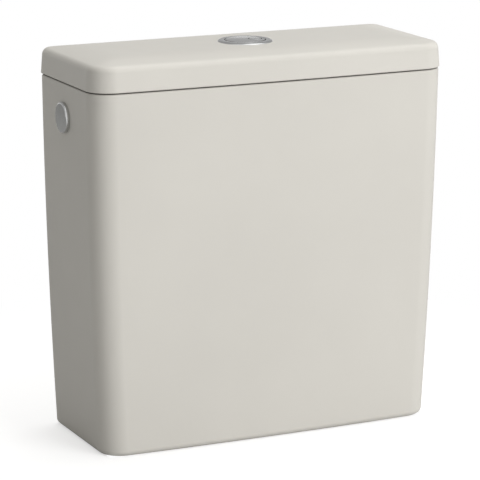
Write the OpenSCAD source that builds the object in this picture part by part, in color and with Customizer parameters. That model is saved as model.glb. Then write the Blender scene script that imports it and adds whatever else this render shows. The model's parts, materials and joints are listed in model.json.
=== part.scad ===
// Close-coupled toilet cistern with a dual-flush push button, lift valve and bottom-entry fill valve.
// Millimetres. +Z is up, the front faces -Y, the flat back faces +Y.
// The origin is on the foot's plane, under the middle of the overall width and depth.

/* [Tank] */
// Width of the tank at its top rim
tank_w = 380; // [350:1:420]
// Depth of the tank from its back face to the corners of its front
tank_d = 146.5; // [138:0.5:170]
// Height of the tank from its foot to its top rim
tank_h = 362; // [340:1:400]
// How far the middle of the front stands proud of its corners
front_bow = 2.3; // [0.5:0.1:6]
// How far each side leans in from rim to foot
side_lean = 2.1; // [0:0.1:6]
// Further inward curve of each side at the foot
side_curve = 8.2; // [0:0.1:12]
// How far the front leans in from rim to foot
front_lean = 7; // [0:0.1:12]
// Radius of the two front corners in plan
front_corner_r = 24.3; // [18:0.1:36]
// Radius of the two back corners in plan
back_corner_r = 8.5; // [5:0.1:14]
// Least radius of the inner corners in plan
inner_corner_r = 6; // [3:0.5:10]
// Rounding of the foot's outer edge
foot_r = 6; // [2:0.1:9]
// Rounding of the rim's two edges
rim_r = 2; // [0.5:0.1:4]
// Thickness of the ceramic walls
wall = 10; // [8:0.5:12]
// Thickness of the skirt below the floor
skirt = 12; // [11:0.5:13]
// Thickness of the ceramic floor
floor_t = 12; // [9:0.5:16]
// Height of the hollow under the floor
recess_h = 40; // [36:1:50]
// Radius where the inner walls meet the floor
floor_fillet_r = 6; // [3:0.5:8]
// Radius where the skirt meets the floor's underside
recess_fillet_r = 4; // [1:0.5:4.5]

/* [Lid] */
// How far the lid overhangs the tank at its front and sides
lid_overhang = 0.9; // [0:0.1:4]
// Height of the lid's edge
lid_h = 26.6; // [22:0.1:34]
// Rise of the lid's crowned top above its edge
lid_crown = 3.9; // [0.5:0.1:4.5]
// Width of the crowned band inside the lid's edge
crown_band = 38; // [28:1:40]
// Inward draft of the lid's sides
lid_draft = 1.4; // [0:0.1:3]
// Radius of the lid's top edge at its front and sides
lid_edge_r = 7.1; // [3:0.1:10]
// Depth of the lid's top edge rounding at its back
lid_back_r = 2.5; // [1:0.1:8]
// Rounding of the lid's lower edge
lid_foot_r = 1.3; // [0.3:0.1:2.5]
// Gap between the lid's lower edge and the tank's rim, outside the lid's seat
seam_h = 0.9; // [0.4:0.1:1.5]
// Distance of the lid's seat inside its lower edge
seat_in = 4; // [3:0.1:6]
// Thickness of the lid's top
lid_t = 10; // [7:0.5:12]
// Drop of the locating lip below the lid's rim
lip_h = 6; // [3:0.5:10]
// Thickness of the locating lip
lip_t = 7; // [4:0.5:9]
// Rounding of the locating lip
lip_r = 1.2; // [0.4:0.1:2]
// Gap between the locating lip and the tank's inner wall
lip_clear = 2.5; // [1:0.1:4]

/* [Push buttons] */
// Outer radius of the chrome bezel
bezel_r = 27.5; // [26:0.1:30]
// Height of the bezel above the lid
bezel_h = 1.6; // [1.2:0.1:2.2]
// Width of the bezel's rounded rim
bezel_rim = 2.5; // [2.2:0.1:4]
// Inner radius of the bezel and its sleeve
bezel_bore_r = 20.7; // [20:0.1:21.5]
// Wall of the bezel's sleeve
sleeve_t = 2; // [1.5:0.1:2.5]
// Length of the sleeve below the lid's top
sleeve_l = 32; // [29:0.5:36]
// Radius of the hole in the lid
lid_hole_r = 24; // [23.7:0.1:25]
// Radius of the half-flush button
half_r = 6.8; // [6.6:0.1:8]
// Distance of the half-flush button from the middle
half_x = 11; // [10.5:0.1:11.5]
// Thickness of both button discs
disc_t = 3; // [2:0.1:4]
// How far the button discs stand above the bezel's top
disc_proud = 0.2; // [0:0.1:1]
// Travel of both buttons
press = 6; // [5:0.1:6.4]
// Depth of the skirt under the full-flush button
button_skirt_h = 9; // [6:0.5:12]
// Radius of the push rods
rod_r = 2.2; // [1.8:0.1:2.4]
// How far the push rods stand in front of the middle
rod_front = 2; // [1.5:0.1:2]
// Thickness of the button housing's floor
housing_t = 2; // [1.5:0.1:3]
// Outer radius of the nut under the lid
button_nut_r = 31; // [28:0.5:34]
// Height of the nut under the lid
button_nut_h = 8; // [5:0.5:10]
// Thickness of the gasket under the lid
button_gasket_t = 1.5; // [1:0.1:2.5]
// Wire radius of the button springs
wire_r = 0.45; // [0.3:0.05:0.5]
// Coils of each button spring
spring_turns = 6; // [4:1:8]
// Middle radius of the full-flush spring
full_spring_r = 5.2; // [5:0.1:5.5]
// Middle radius of the half-flush spring
half_spring_r = 4.4; // [4.2:0.05:4.8]

/* [Flush valve] */
// Gap between the valve's base and the fillet of the tank's back wall
floor_clear = 0.35; // [0.3:0.05:1]
// Outer radius of the outlet tail, a two-inch pipe thread
tail_r = 29.8; // [28:0.1:30.5]
// Inner radius of the outlet tail
tail_bore_r = 26; // [22:0.1:27]
// Radius of the outlet hole in the floor
outlet_hole_r = 32; // [31:0.1:33]
// Radius of the valve's base flange
base_r = 36.5; // [36:0.1:38]
// Thickness of the base flange and of its gasket
base_t = 4; // [3:0.1:5]
// Height of the seat's lip above the base flange
seat_h = 3; // [2:0.1:5]
// Height of the open windows in the base
base_window_h = 32; // [26:1:40]
// Width of the open windows in the base
base_window_w = 33; // [24:1:36]
// Wall of the cage round the base's windows
cage_t = 4.5; // [4:0.1:5]
// Wall of the seat's lip
seat_t = 2.5; // [1.5:0.1:3]
// Height of the ring that takes the tower
base_ring_h = 8; // [6:0.5:12]
// Outer radius of the tower
tower_r = 31; // [30.8:0.1:31.5]
// Wall of the tower
tower_t = 3; // [2:0.1:3.5]
// Thickness of the tower's deck
deck_t = 5; // [4:0.5:7]
// Outer radius of the outlet's backnut
backnut_r = 35.5; // [34:0.1:36]
// Height of the outlet's backnut
backnut_h = 11; // [8:0.5:14]
// Outer radius of the overflow tube
tube_r = 14; // [12:0.1:14.2]
// Wall of the overflow tube
tube_t = 2; // [1.5:0.1:3]
// Drop of the overflow tube's mouth below the tank's rim
tube_drop = 44; // [42:1:56]
// Radius of the lifting collar on the overflow tube
collar_r = 19; // [18.9:0.1:19.5]
// Radius of the valve's rubber seal
seal_r = 28.5; // [28.2:0.1:29]
// Thickness of the valve's rubber seal
seal_t = 3; // [2:0.1:4]
// Radius of the valve's float
float_r = 25; // [20:0.1:25.5]
// Height of the valve's float
float_h = 65; // [40:1:90]
// Height of the valve's float above the base
float_rise = 20; // [10:1:30]
// Radius of the tube's flange above the seal
tube_flange_r = 24; // [20:0.1:26]
// Radius of the retainer under the seal
retainer_r = 19; // [17:0.1:22]
// Thickness of the retainer under the seal
retainer_t = 3.5; // [2:0.1:5]

/* [Levers] */
// Drop of the lever pivots below the tank's rim
pivot_drop = 66; // [64:1:74]
// Share of a lever's length that lies in front of its pivot
lever_share = 0.4583; // [0.45:0.0001:0.47]
// Height of the lever pivots above the tower's deck
pivot_rise = 12; // [10:0.5:14]
// Radius of all pivot pins
pin_r = 1.5; // [1:0.1:1.7]
// Thickness of the rocker levers
lever_t = 3.6; // [3:0.1:4]
// Gap between the levers and the overflow tube
lever_gap = 1.2; // [1:0.1:1.5]
// Thickness of the webs of the levers and the float arm
web_t = 4; // [3:0.1:4.5]
// Radius of the round ends of the levers and the float arm
pad_r = 3; // [2.5:0.1:3.2]
// Height of the levers' pads above their pivot
pad_rise = 1.5; // [0.5:0.1:2]
// Height of the full-flush lever's tip above its pivot
tip_rise = 3.4; // [3:0.1:4]
// Thickness of the lifting collar
collar_t = 4; // [3:0.1:6]
// Thickness of the ears that carry the pins
ear_t = 3; // [2:0.1:4]
// Radius of the ears that carry the pins
ear_r = 3.2; // [2.8:0.1:3.6]
// Gap between an ear and its lever or arm
ear_gap = 0.6; // [0.3:0.1:1]
// How far a lever's hub stands out beyond the ears
hub_proud = 0.6; // [0:0.1:1]

/* [Fill valve] */
// Distance of the inlet from the tank's side at the rim
fill_side = 75; // [66:1:78]
// Distance of the fill valve behind the middle
fill_y = 5; // [0:1:10]
// Outer radius of the inlet tail, a half-inch pipe thread
inlet_r = 10.48; // [9.8:0.01:10.9]
// Inner radius of the inlet tail and riser
inlet_bore_r = 5.5; // [4:0.1:7]
// Radius of the inlet hole in the floor
inlet_hole_r = 11.5; // [11.2:0.1:13]
// Outer radius of the riser
riser_r = 9; // [8.5:0.1:10]
// Radius over the corners of the inlet's backnut
inlet_nut_r = 17; // [14:0.5:19]
// Height of the inlet's backnut
inlet_nut_h = 10; // [7:0.5:13]
// Radius of the flange above the floor
fill_flange_r = 19; // [16:0.5:22]
// Thickness of the flange and of its washer
fill_flange_t = 4; // [3:0.1:6]
// Drop of the float arm's pivot below the tank's rim
arm_drop = 44; // [42:1:52]
// Radius of the valve head
head_r = 17; // [15:0.1:17.4]
// Height of the valve head
head_h = 18; // [14:0.5:22]
// Radius of the outlet nozzle on the valve head
nozzle_r = 3.5; // [2.5:0.1:4]
// Length of the outlet nozzle
nozzle_l = 10; // [6:0.5:12]
// Thickness of the roof over the outlet nozzle
head_roof = 1; // [0.8:0.1:2]
// Radius of the riser's spigot in the valve head
spigot_r = 7.5; // [7:0.1:8.2]
// Height of the cap on the valve head
cap_h = 7; // [5:0.5:9]
// Length of the float arm from its pivot to the link
arm_l = 32; // [31:0.5:36]
// Width of the float arm
arm_w = 6; // [5:0.5:8]
// Height of the float arm's end above its pivot
arm_pad_rise = 1; // [0:0.1:2]
// Distance of the float arm's pivot behind the riser
arm_back = 12; // [11:0.5:13]
// Height of the float arm's pivot above the cap
arm_rise = 4; // [3.8:0.1:6]
// Travel of the float cup
float_travel = 12; // [8:0.5:12]
// Outer radius of the float cup
cup_r = 26; // [25:0.5:28]
// Height of the float cup
cup_h = 58; // [40:1:80]
// Wall of the float cup
cup_t = 2.5; // [1.5:0.1:4]
// Gap between the valve head and the risen float cup
cup_clear = 23; // [12:1:30]
// Height of the stop under the float cup
stop_h = 6; // [4:0.5:10]
// How far the stop stands out from the riser
stop_proud = 2.5; // [2:0.1:4]
// Radius of the link between float cup and arm
link_r = 2; // [1.5:0.1:2.2]
// Radius of the lug that takes the link
lug_r = 4; // [3.5:0.1:5]
// Height of the lug that takes the link
lug_h = 8; // [6:0.5:12]

/* [Side plug] */
// Radius of the plug's chrome flange
plug_r = 15.2; // [14:0.1:18]
// How far the plug's flange stands proud of the wall
plug_h = 4; // [3:0.1:5]
// Height of the straight rim of the plug's flange
plug_rim = 1.6; // [0.6:0.1:2.4]
// Drop of the plug below the tank's rim
plug_drop = 33.4; // [30:0.1:60]
// Distance of the plug behind the middle of the depth
plug_y = 9; // [0:0.5:12]
// Radius of the plug's threaded stem
plug_stem_r = 10; // [8:0.1:10.6]
// Radius of the side inlet hole
side_hole_r = 11; // [10.7:0.1:12.5]
// Radius over the corners of the plug's nut
plug_nut_r = 16; // [13.5:0.1:18]
// Height of the plug's nut
plug_nut_h = 8; // [6:0.5:10]
// How far the plug's stem shows beyond its nut
plug_stem_proud = 2; // [1:0.5:4]
// Thickness of the plug's rubber washer
plug_washer_t = 3; // [2:0.1:4]

/* [Coupling bolts] */
// Distance of each coupling bolt from the tank's side at the rim
bolt_side = 110; // [108:1:115]
// Radius of the bolts, M8
bolt_r = 4; // [3:0.1:5]
// Radius of the bolt holes in the floor
bolt_hole_r = 6; // [5.5:0.1:7]
// Radius of the bolt heads
bolt_head_r = 9; // [7:0.1:11]
// Height of the bolt heads
bolt_head_h = 6; // [4:0.1:8]
// Height of the rubber seals under the bolt heads
bolt_seal_h = 6; // [4:0.1:9]
// How far the seals flare out at the floor
bolt_seal_flare = 4; // [2:0.5:5]
// Radius over the corners of the bolts' nuts
bolt_nut_r = 7.5; // [6.8:0.1:9]
// Height of the bolts' nuts
bolt_nut_h = 6.5; // [5:0.1:8]
// Radius of the washers above the nuts
bolt_washer_r = 11; // [9:0.1:12]
// Thickness of the washers above the nuts
bolt_washer_t = 2; // [1:0.1:3]

/* [Fits] */
// Radial gap between parts that slide past each other
slide_gap = 0.4; // [0.3:0.05:0.6]
// Radial gap of pins and screwed parts
thread_gap = 0.05; // [0.02:0.01:0.1]
// Gap between a lever and what it pushes, at rest
touch_gap = 0.3; // [0.3:0.05:0.6]
// Height of the tails and bolts above the foot
tail_end = 2; // [1:0.5:4]
// Depth of the thread's relief on the outlet tail
tail_relief = 0.8; // [0.7:0.05:1]
// Depth of the thread's relief on the inlet tail and the bolts
relief = 0.2; // [0.1:0.05:0.3]
// How far the relief runs on below a nut
nut_run = 1; // [0.5:0.1:2]
// How far the grips of the round nuts stand proud
grip_proud = 1.5; // [1:0.1:2.5]
// How far the grips of the round nuts end short of their faces
grip_set = 0.8; // [0.4:0.1:1.5]
// Gap below the tower in the base's ring
dock_gap = 0.5; // [0.3:0.1:1]

/* [Hidden] */
$fn = 96;

// Steps of the shell's curves
bow_steps = 12;
corner_steps = 10;
back_steps = 4;
edge_steps = 6;
side_steps = 10;
crown_steps = 5;

// Margin by which a cutter runs past what it cuts
cut = 1;
// Overlap of two shapes that are joined into one piece
join = 0.1;

// Colours
glaze = [0.84, 0.83, 0.80];
chrome = [0.72, 0.73, 0.74];
white_plastic = [0.93, 0.93, 0.92];
grey_plastic = [0.62, 0.64, 0.66];
blue_plastic = [0.36, 0.52, 0.66];
black_rubber = [0.14, 0.14, 0.15];
zinc_steel = [0.70, 0.71, 0.72];

// Places of the ceramic shell
back_y = (tank_d + front_bow + lid_overhang) / 2;
front_y = back_y - tank_d;
floor_z = recess_h + floor_t;
lid_half_w = tank_w / 2 + lid_overhang;
lid_front_y = front_y - lid_overhang;
crown_slope = atan(2 * lid_crown / crown_band);
edge_end = 90 - crown_slope;
edge_top_z = tank_h + lid_h - lid_edge_r * (1 - sin(edge_end));
edge_in = lid_draft + lid_edge_r * (1 - cos(edge_end));
edge_back_in = lid_back_r * (1 - cos(edge_end));
lid_top_z = edge_top_z + lid_crown;
lid_ceiling_z = tank_h + lid_h - lid_t;
lip_out = lid_overhang + wall + lip_clear;
lip_in = lip_out + lip_t;

// Places of the push buttons, from the lid's top
disc_top_z = lid_top_z + bezel_h + disc_proud;
disc_under_z = disc_top_z - disc_t;
sleeve_r = bezel_bore_r + sleeve_t;
housing_z = lid_top_z - sleeve_l;
full_r = bezel_bore_r - slide_gap;
rod_y = -rod_front;

// Places of the flush valve
valve_y = back_y - wall - floor_fillet_r - base_r - floor_clear;
pivot_y = rod_y + lever_share * (valve_y - rod_y);
gasket_top_z = floor_z + base_t;
flange_top_z = gasket_top_z + base_t;
seat_z = flange_top_z + seat_h;
seal_top_z = seat_z + seal_t;
base_ring_z = flange_top_z + base_window_h;
base_top_z = base_ring_z + base_ring_h;
base_ring_in = tower_r + touch_gap;
base_ring_out = base_ring_in + cage_t;
pivot_z = tank_h - pivot_drop;
deck_top_z = pivot_z - pivot_rise;
tube_top_z = tank_h - tube_drop;
lever_in = tube_r + lever_gap;
lever_out = lever_in + lever_t;
front_arm = pivot_y - rod_y;
back_arm = valve_y - pivot_y;
collar_rise = tip_rise + pad_r + 2 * touch_gap;
collar_z = pivot_z + collar_rise;
lever_swing = asin(press / front_arm);
rod_tip_z = pivot_z + pad_rise + pad_r + touch_gap;
float_z = base_top_z + float_rise;

// Distance between the coupling bolts
bolt_span = tank_w - 2 * bolt_side;

// Places of the fill valve
fill_x = tank_w / 2 - fill_side;
fill_flange_z = floor_z + fill_flange_t;
arm_z = tank_h - arm_drop;
arm_y = fill_y + arm_back;
link_y = arm_y - arm_l;
cap_top_z = arm_z - arm_rise;
head_top_z = cap_top_z - cap_h;
head_z = head_top_z - head_h;
spigot_h = head_h - head_roof - 2 * nozzle_r;
link_tip_z = arm_z + arm_pad_rise - pad_r - touch_gap;
cup_top_z = head_z - float_travel - cup_clear;
cup_z = cup_top_z - cup_h;
stop_r = riser_r + stop_proud;

// Places of the side plug
plug_z = tank_h - plug_drop;
plug_wall_x = -tank_half(plug_z + plug_r);
plug_inner_x = wall - tank_half(plug_z - plug_nut_r) + thread_gap;
plug_washer_x = plug_inner_x + plug_washer_t;
plug_stem_x = plug_washer_x + plug_nut_h + plug_stem_proud;

// Points of an arc at height z, both ends included
function arc(x, y, r, from, to, steps, z) = [
    for (i = [0 : steps])
        let (a = from + (to - from) * i / steps)
        [x + r * cos(a), y + r * sin(a), z]
];

// Closed plan outline at height z: flat back, straight sides, bowed front, all joined by tangent arcs
function outline(half_w, front, back, r_front, r_back, z) =
    let (
        chord = half_w - r_front,
        bow_r = (chord * chord + front_bow * front_bow) / (2 * front_bow),
        bow_y = front - front_bow + bow_r,
        corner_y = bow_y - sqrt(pow(bow_r - r_front, 2) - chord * chord),
        bow_half = atan2(chord, bow_y - corner_y)
    )
    concat(
        arc(half_w - r_back, back - r_back, r_back, 90, 0, back_steps, z),
        arc(chord, corner_y, r_front, 0, bow_half - 90, corner_steps, z),
        [
            for (i = [1 : bow_steps - 1])
                let (a = bow_half * (1 - 2 * i / bow_steps))
                [bow_r * sin(a), bow_y - bow_r * cos(a), z]
        ],
        arc(-chord, corner_y, r_front, -90 - bow_half, -180, corner_steps, z),
        arc(r_back - half_w, back - r_back, r_back, 180, 90, back_steps, z)
    );

// How the tank's sides and front lean in below the rim
function below_rim(z) = 1 - z / tank_h;
function tank_half(z) = tank_w / 2 - side_lean * below_rim(z) - side_curve * pow(below_rim(z), 2);
function tank_front(z) = front_y + front_lean * below_rim(z);

// Outline of the tank at height z, set in by a distance
function tank_ring(z, inset) = outline(
    tank_half(z) - inset, tank_front(z) + inset, back_y - inset,
    max(front_corner_r - inset, inner_corner_r),
    max(back_corner_r - inset, inner_corner_r), z
);

// Outline of the lid at height z, set in by a distance, with its own distance at the back
function lid_ring(z, inset, back_inset) = outline(
    lid_half_w - inset, lid_front_y + inset, back_y - back_inset,
    max(front_corner_r + lid_overhang - inset, inner_corner_r),
    max(back_corner_r - back_inset, inner_corner_r), z
);

// Angles of a quarter round, first end left out
function quarter(end = 90) = [for (i = [1 : edge_steps]) end * i / edge_steps];

// Solid through a stack of outlines, closed by its first and last ones
module loft(rings) {
    count = len(rings[0]);
    last = len(rings) - 1;
    walls = [
        for (k = [0 : last - 1], i = [0 : count - 1])
            let (
                j = (i + 1) % count,
                a = k * count + i,
                b = k * count + j,
                c = b + count,
                d = a + count
            )
            each [[a, b, c], [a, c, d]]
    ];
    first_cap = [for (i = [count - 1 : -1 : 0]) i];
    last_cap = [for (i = [0 : count - 1]) last * count + i];
    polyhedron([for (ring = rings) each ring], concat(walls, [first_cap, last_cap]));
}

// Upright tube
module tube(r_out, r_in, z0, z1) {
    translate([0, 0, z0]) difference() {
        cylinder(r = r_out, h = z1 - z0);
        translate([0, 0, -cut]) cylinder(r = r_in, h = z1 - z0 + 2 * cut);
    }
}

// Upright cylinder between two heights
module post(r, z0, z1) {
    translate([0, 0, z0]) cylinder(r = r, h = z1 - z0);
}

// Round bar along X between two places
module bar_x(r, x0, x1) {
    translate([x0, 0, 0]) rotate([0, 90, 0]) cylinder(r = r, h = x1 - x0);
}

// Six-sided nut with a round bore
module hex_nut(r, bore, h) {
    difference() {
        cylinder(r = r, h = h, $fn = 6);
        translate([0, 0, -cut]) cylinder(r = bore, h = h + 2 * cut);
    }
}

// Spring wound upwards round the Z axis, its two ends squared on the planes that it bears on
function coil_point(r, h, i, steps) =
    let (a = 360 * spring_turns * i / steps)
    [r * cos(a), r * sin(a), wire_r + (h - 2 * wire_r) * i / steps];

module spring(r, h) {
    sides = 6;
    steps = 8 * spring_turns;
    path = [for (i = [0 : steps]) coil_point(r, h, i, steps)];
    gaps = [
        for (i = [0 : steps - 6], k = [6 : 10])
            if (i + k <= steps) norm(path[i + k] - path[i]) - 2 * wire_r
    ];
    echo(least_spring_gap = min(gaps));
    points = [
        for (p = path, s = [0 : sides - 1])
            let (
                out = [p[0], p[1], 0] / r,
                a = 360 * s / sides
            )
            p + wire_r * (cos(a) * out + sin(a) * [0, 0, 1])
    ];
    walls = [
        for (k = [0 : steps - 1], s = [0 : sides - 1])
            let (
                t = (s + 1) % sides,
                a = k * sides + s,
                b = k * sides + t,
                c = b + sides,
                d = a + sides
            )
            each [[a, b, c], [a, c, d]]
    ];
    first_cap = [for (s = [sides - 1 : -1 : 0]) s];
    last_cap = [for (s = [0 : sides - 1]) steps * sides + s];
    polyhedron(points, concat(walls, [first_cap, last_cap]));
}

// Ceramic tank: skirt, foot, leaning walls, rounded rim and basin, drilled for its fittings
module tank() {
    recess = concat(
        [tank_ring(recess_h, skirt + recess_fillet_r)],
        [
            for (a = quarter())
                tank_ring(recess_h - recess_fillet_r * (1 - cos(a)), skirt + recess_fillet_r * (1 - sin(a)))
        ]
    );
    foot = concat(
        [tank_ring(0, skirt), tank_ring(0, foot_r)],
        [for (a = quarter()) tank_ring(foot_r * (1 - cos(a)), foot_r * (1 - sin(a)))]
    );
    outside = [
        for (i = [1 : side_steps])
            tank_ring(foot_r + (tank_h - rim_r - foot_r) * i / side_steps, 0)
    ];
    rim = concat(
        [for (a = quarter()) tank_ring(tank_h - rim_r * (1 - sin(a)), rim_r * (1 - cos(a)))],
        [tank_ring(tank_h, wall - rim_r)],
        [for (a = quarter()) tank_ring(tank_h - rim_r * (1 - cos(a)), wall - rim_r * (1 - sin(a)))]
    );
    fillet_top = floor_z + floor_fillet_r;
    inside = [
        for (i = [1 : side_steps])
            tank_ring(tank_h - rim_r + (fillet_top - tank_h + rim_r) * i / side_steps, wall)
    ];
    basin = [
        for (a = quarter())
            tank_ring(fillet_top - floor_fillet_r * sin(a), wall + floor_fillet_r * (1 - cos(a)))
    ];
    color(glaze) difference() {
        loft(concat(recess, foot, outside, rim, inside, basin));
        translate([0, valve_y, recess_h - cut]) cylinder(r = outlet_hole_r, h = floor_t + 2 * cut);
        translate([fill_x, fill_y, recess_h - cut]) cylinder(r = inlet_hole_r, h = floor_t + 2 * cut);
        for (side = [-1, 1])
            translate([side * bolt_span / 2, valve_y, recess_h - cut])
                cylinder(r = bolt_hole_r, h = floor_t + 2 * cut);
        translate([0, plug_y, plug_z]) bar_x(side_hole_r, -tank_w / 2 - cut, plug_inner_x + cut);
    }
}

// Ceramic lid: hollow underneath, with a lip that drops inside the tank and a crowned top
module lid() {
    hollow_r = lip_h;
    hollow = concat(
        [lid_ring(lid_ceiling_z, lip_in + hollow_r, lip_in + hollow_r)],
        [
            for (a = quarter())
                let (inset = lip_in + hollow_r * (1 - sin(a)))
                lid_ring(lid_ceiling_z - hollow_r * (1 - cos(a)), inset, inset)
        ]
    );
    lip_z = tank_h - lip_h;
    foot_z = tank_h + seam_h;
    lip = [
        for (step = [
            [lip_z + lip_r, lip_in], [lip_z, lip_in - lip_r],
            [lip_z, lip_out + lip_r], [lip_z + lip_r, lip_out], [tank_h, lip_out]
        ])
            lid_ring(step[0], step[1], step[1])
    ];
    foot = concat(
        [
            for (step = [[tank_h, seat_in], [foot_z, seat_in - seam_h], [foot_z, lid_foot_r]])
                lid_ring(step[0], step[1], step[1])
        ],
        [
            for (a = quarter())
                let (inset = lid_foot_r * (1 - sin(a)))
                lid_ring(foot_z + lid_foot_r * (1 - cos(a)), inset, inset)
        ]
    );
    edge_z = tank_h + lid_h - lid_edge_r;
    edge = concat(
        [lid_ring(edge_z, lid_draft, 0)],
        [
            for (a = quarter(edge_end))
                lid_ring(
                    edge_z + lid_edge_r * sin(a),
                    lid_draft + lid_edge_r * (1 - cos(a)),
                    lid_back_r * (1 - cos(a))
                )
        ]
    );
    crown = [
        for (i = [1 : crown_steps])
            let (q = i / crown_steps)
            lid_ring(
                edge_top_z + lid_crown * (1 - pow(1 - q, 2)),
                edge_in + crown_band * q,
                edge_back_in + crown_band * q
            )
    ];
    color(glaze) difference() {
        loft(concat(hollow, lip, foot, edge, crown));
        translate([0, 0, lid_ceiling_z - cut]) cylinder(r = lid_hole_r, h = lid_t + lid_crown + 2 * cut);
    }
}

// Chrome plug: domed flange outside the wall, threaded stem through it
module side_plug_cap() {
    edge = plug_h - plug_rim;
    color(chrome) translate([plug_wall_x, plug_y, plug_z]) rotate([0, -90, 0]) {
        rotate_extrude() {
            square([plug_r - edge, plug_h]);
            square([plug_r, plug_h - edge]);
            translate([plug_r - edge, plug_h - edge]) intersection() {
                circle(r = edge);
                square(edge);
            }
        }
        translate([0, 0, plug_wall_x - plug_stem_x]) cylinder(r = plug_stem_r, h = plug_stem_x - plug_wall_x);
    }
}

module side_plug_washer() {
    color(black_rubber) translate([plug_washer_x, plug_y, plug_z]) rotate([0, -90, 0])
        tube(plug_nut_r, plug_stem_r + thread_gap, 0, plug_washer_t);
}

module side_plug_nut() {
    color(white_plastic) translate([plug_washer_x + plug_nut_h, plug_y, plug_z]) rotate([0, -90, 0])
        hex_nut(plug_nut_r, plug_stem_r + thread_gap, plug_nut_h);
}

// Chrome bezel: rounded ring on the lid, with a sleeve that passes through it
module button_bezel() {
    lip = 0.7;
    rim_arc = (pow(bezel_rim, 2) + pow(bezel_h, 2)) / (2 * bezel_h);
    color(chrome) translate([0, 0, lid_top_z]) rotate_extrude() {
        translate([bezel_bore_r + lip, 0]) square([bezel_r - bezel_rim - bezel_bore_r - lip, bezel_h]);
        translate([bezel_bore_r, 0]) square([lip, bezel_h - lip]);
        translate([bezel_bore_r + lip, bezel_h - lip]) intersection() {
            circle(r = lip);
            translate([-lip, 0]) square(lip);
        }
        translate([bezel_r - bezel_rim, bezel_h - rim_arc]) intersection() {
            circle(r = rim_arc);
            translate([0, rim_arc - bezel_h]) square([bezel_rim, bezel_h]);
        }
        translate([bezel_bore_r, -sleeve_l]) square([sleeve_t, sleeve_l]);
    }
}

// Floor under the sleeve, with a spigot inside it and a guide for each push rod
module button_housing() {
    guide_h = 8;
    guide_t = 0.8;
    spigot_h = 4;
    spigot_t = 1.5;
    spigot_r = bezel_bore_r - thread_gap;
    color(white_plastic) {
        difference() {
            post(sleeve_r, housing_z - housing_t, housing_z);
            for (side = [-1, 1])
                translate([side * half_x, rod_y, 0])
                    post(rod_r + slide_gap, housing_z - housing_t - cut, housing_z + cut);
        }
        tube(spigot_r, spigot_r - spigot_t, housing_z - join, housing_z + spigot_h);
        for (side = [-1, 1])
            translate([side * half_x, rod_y, 0])
                tube(rod_r + slide_gap + guide_t, rod_r + slide_gap, housing_z - join, housing_z + guide_h);
    }
}

module button_gasket() {
    color(black_rubber)
        tube(button_nut_r, sleeve_r + slide_gap, lid_ceiling_z - button_gasket_t, lid_ceiling_z);
}

// Nut on the sleeve, with grips for the fingers
module button_nut() {
    grips = 8;
    grip_r = 3;
    top = lid_ceiling_z - button_gasket_t;
    color(white_plastic) difference() {
        union() {
            post(button_nut_r - grip_proud, top - button_nut_h, top);
            for (i = [0 : grips - 1])
                rotate(360 * i / grips) translate([button_nut_r - grip_r, 0, 0])
                    post(grip_r, top - button_nut_h + grip_set, top - grip_set);
        }
        post(sleeve_r + thread_gap, top - button_nut_h - cut, top + cut);
    }
}

// Disc with a rounded upper edge, its top at z
module button_disc(r, z) {
    edge = 0.7;
    translate([0, 0, z - disc_t]) rotate_extrude() {
        square([r - edge, disc_t]);
        square([r, disc_t - edge]);
        translate([r - edge, disc_t - edge]) circle(r = edge);
    }
}

// Large disc with its guide skirt, a socket for the push rod and a hole for the small disc
module full_flush_button() {
    skirt_t = 2;
    socket_h = 6;
    socket_t = 1.6;
    socket_r = rod_r + socket_t;
    color(chrome) difference() {
        union() {
            button_disc(full_r, disc_top_z);
            tube(full_r, full_r - skirt_t, disc_under_z - button_skirt_h, disc_under_z + join);
            translate([-half_x, rod_y, 0]) post(socket_r, disc_under_z - socket_h, disc_under_z + join);
        }
        translate([half_x, 0, 0]) post(half_r + slide_gap, disc_under_z - cut, disc_top_z + cut);
        translate([-half_x, rod_y, 0]) post(rod_r + thread_gap, disc_under_z - socket_h - cut, disc_under_z);
    }
}

module half_flush_button() {
    socket_h = 6;
    socket_t = 1;
    socket_r = rod_r + socket_t;
    color(chrome) difference() {
        union() {
            translate([half_x, 0, 0]) button_disc(half_r, disc_top_z);
            translate([half_x, rod_y, 0]) post(socket_r, disc_under_z - socket_h, disc_under_z + join);
        }
        translate([half_x, rod_y, 0]) post(rod_r + thread_gap, disc_under_z - socket_h - cut, disc_under_z);
    }
}

module full_button_spring() {
    color(zinc_steel) translate([-half_x, rod_y, housing_z]) spring(full_spring_r, disc_under_z - housing_z);
}

module half_button_spring() {
    color(zinc_steel) translate([half_x, rod_y, housing_z]) spring(half_spring_r, disc_under_z - housing_z);
}

// Push rod with a round tip
module push_rod(x) {
    color(blue_plastic) translate([x, rod_y, 0]) {
        post(rod_r, rod_tip_z + rod_r, disc_under_z);
        translate([0, 0, rod_tip_z + rod_r]) sphere(r = rod_r);
    }
}

module full_push_rod() {
    push_rod(-half_x);
}

module half_push_rod() {
    push_rod(half_x);
}

// Base of the flush valve: threaded outlet tail, flange, seat lip and a windowed cage
module flush_valve_base() {
    windows = 4;
    thread_top_z = recess_h - backnut_h - nut_run;
    color(white_plastic) translate([0, valve_y, 0]) {
        difference() {
            union() {
                post(tail_r, tail_end, thread_top_z);
                post(tail_r - tail_relief, thread_top_z - join, gasket_top_z + join);
                post(base_r, gasket_top_z, flange_top_z);
                post(tail_bore_r + seat_t, flange_top_z - join, seat_z);
            }
            post(tail_bore_r, tail_end - cut, seat_z + cut);
        }
        difference() {
            tube(base_ring_out, base_ring_in, flange_top_z - join, base_top_z);
            for (i = [0 : windows - 1])
                rotate(360 * i / windows) translate([0, -base_window_w / 2, flange_top_z])
                    cube([base_ring_out + cut, base_window_w, base_window_h]);
        }
    }
}

module flush_valve_gasket() {
    color(black_rubber) translate([0, valve_y, 0]) tube(base_r, tail_r + slide_gap, floor_z, gasket_top_z);
}

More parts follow.
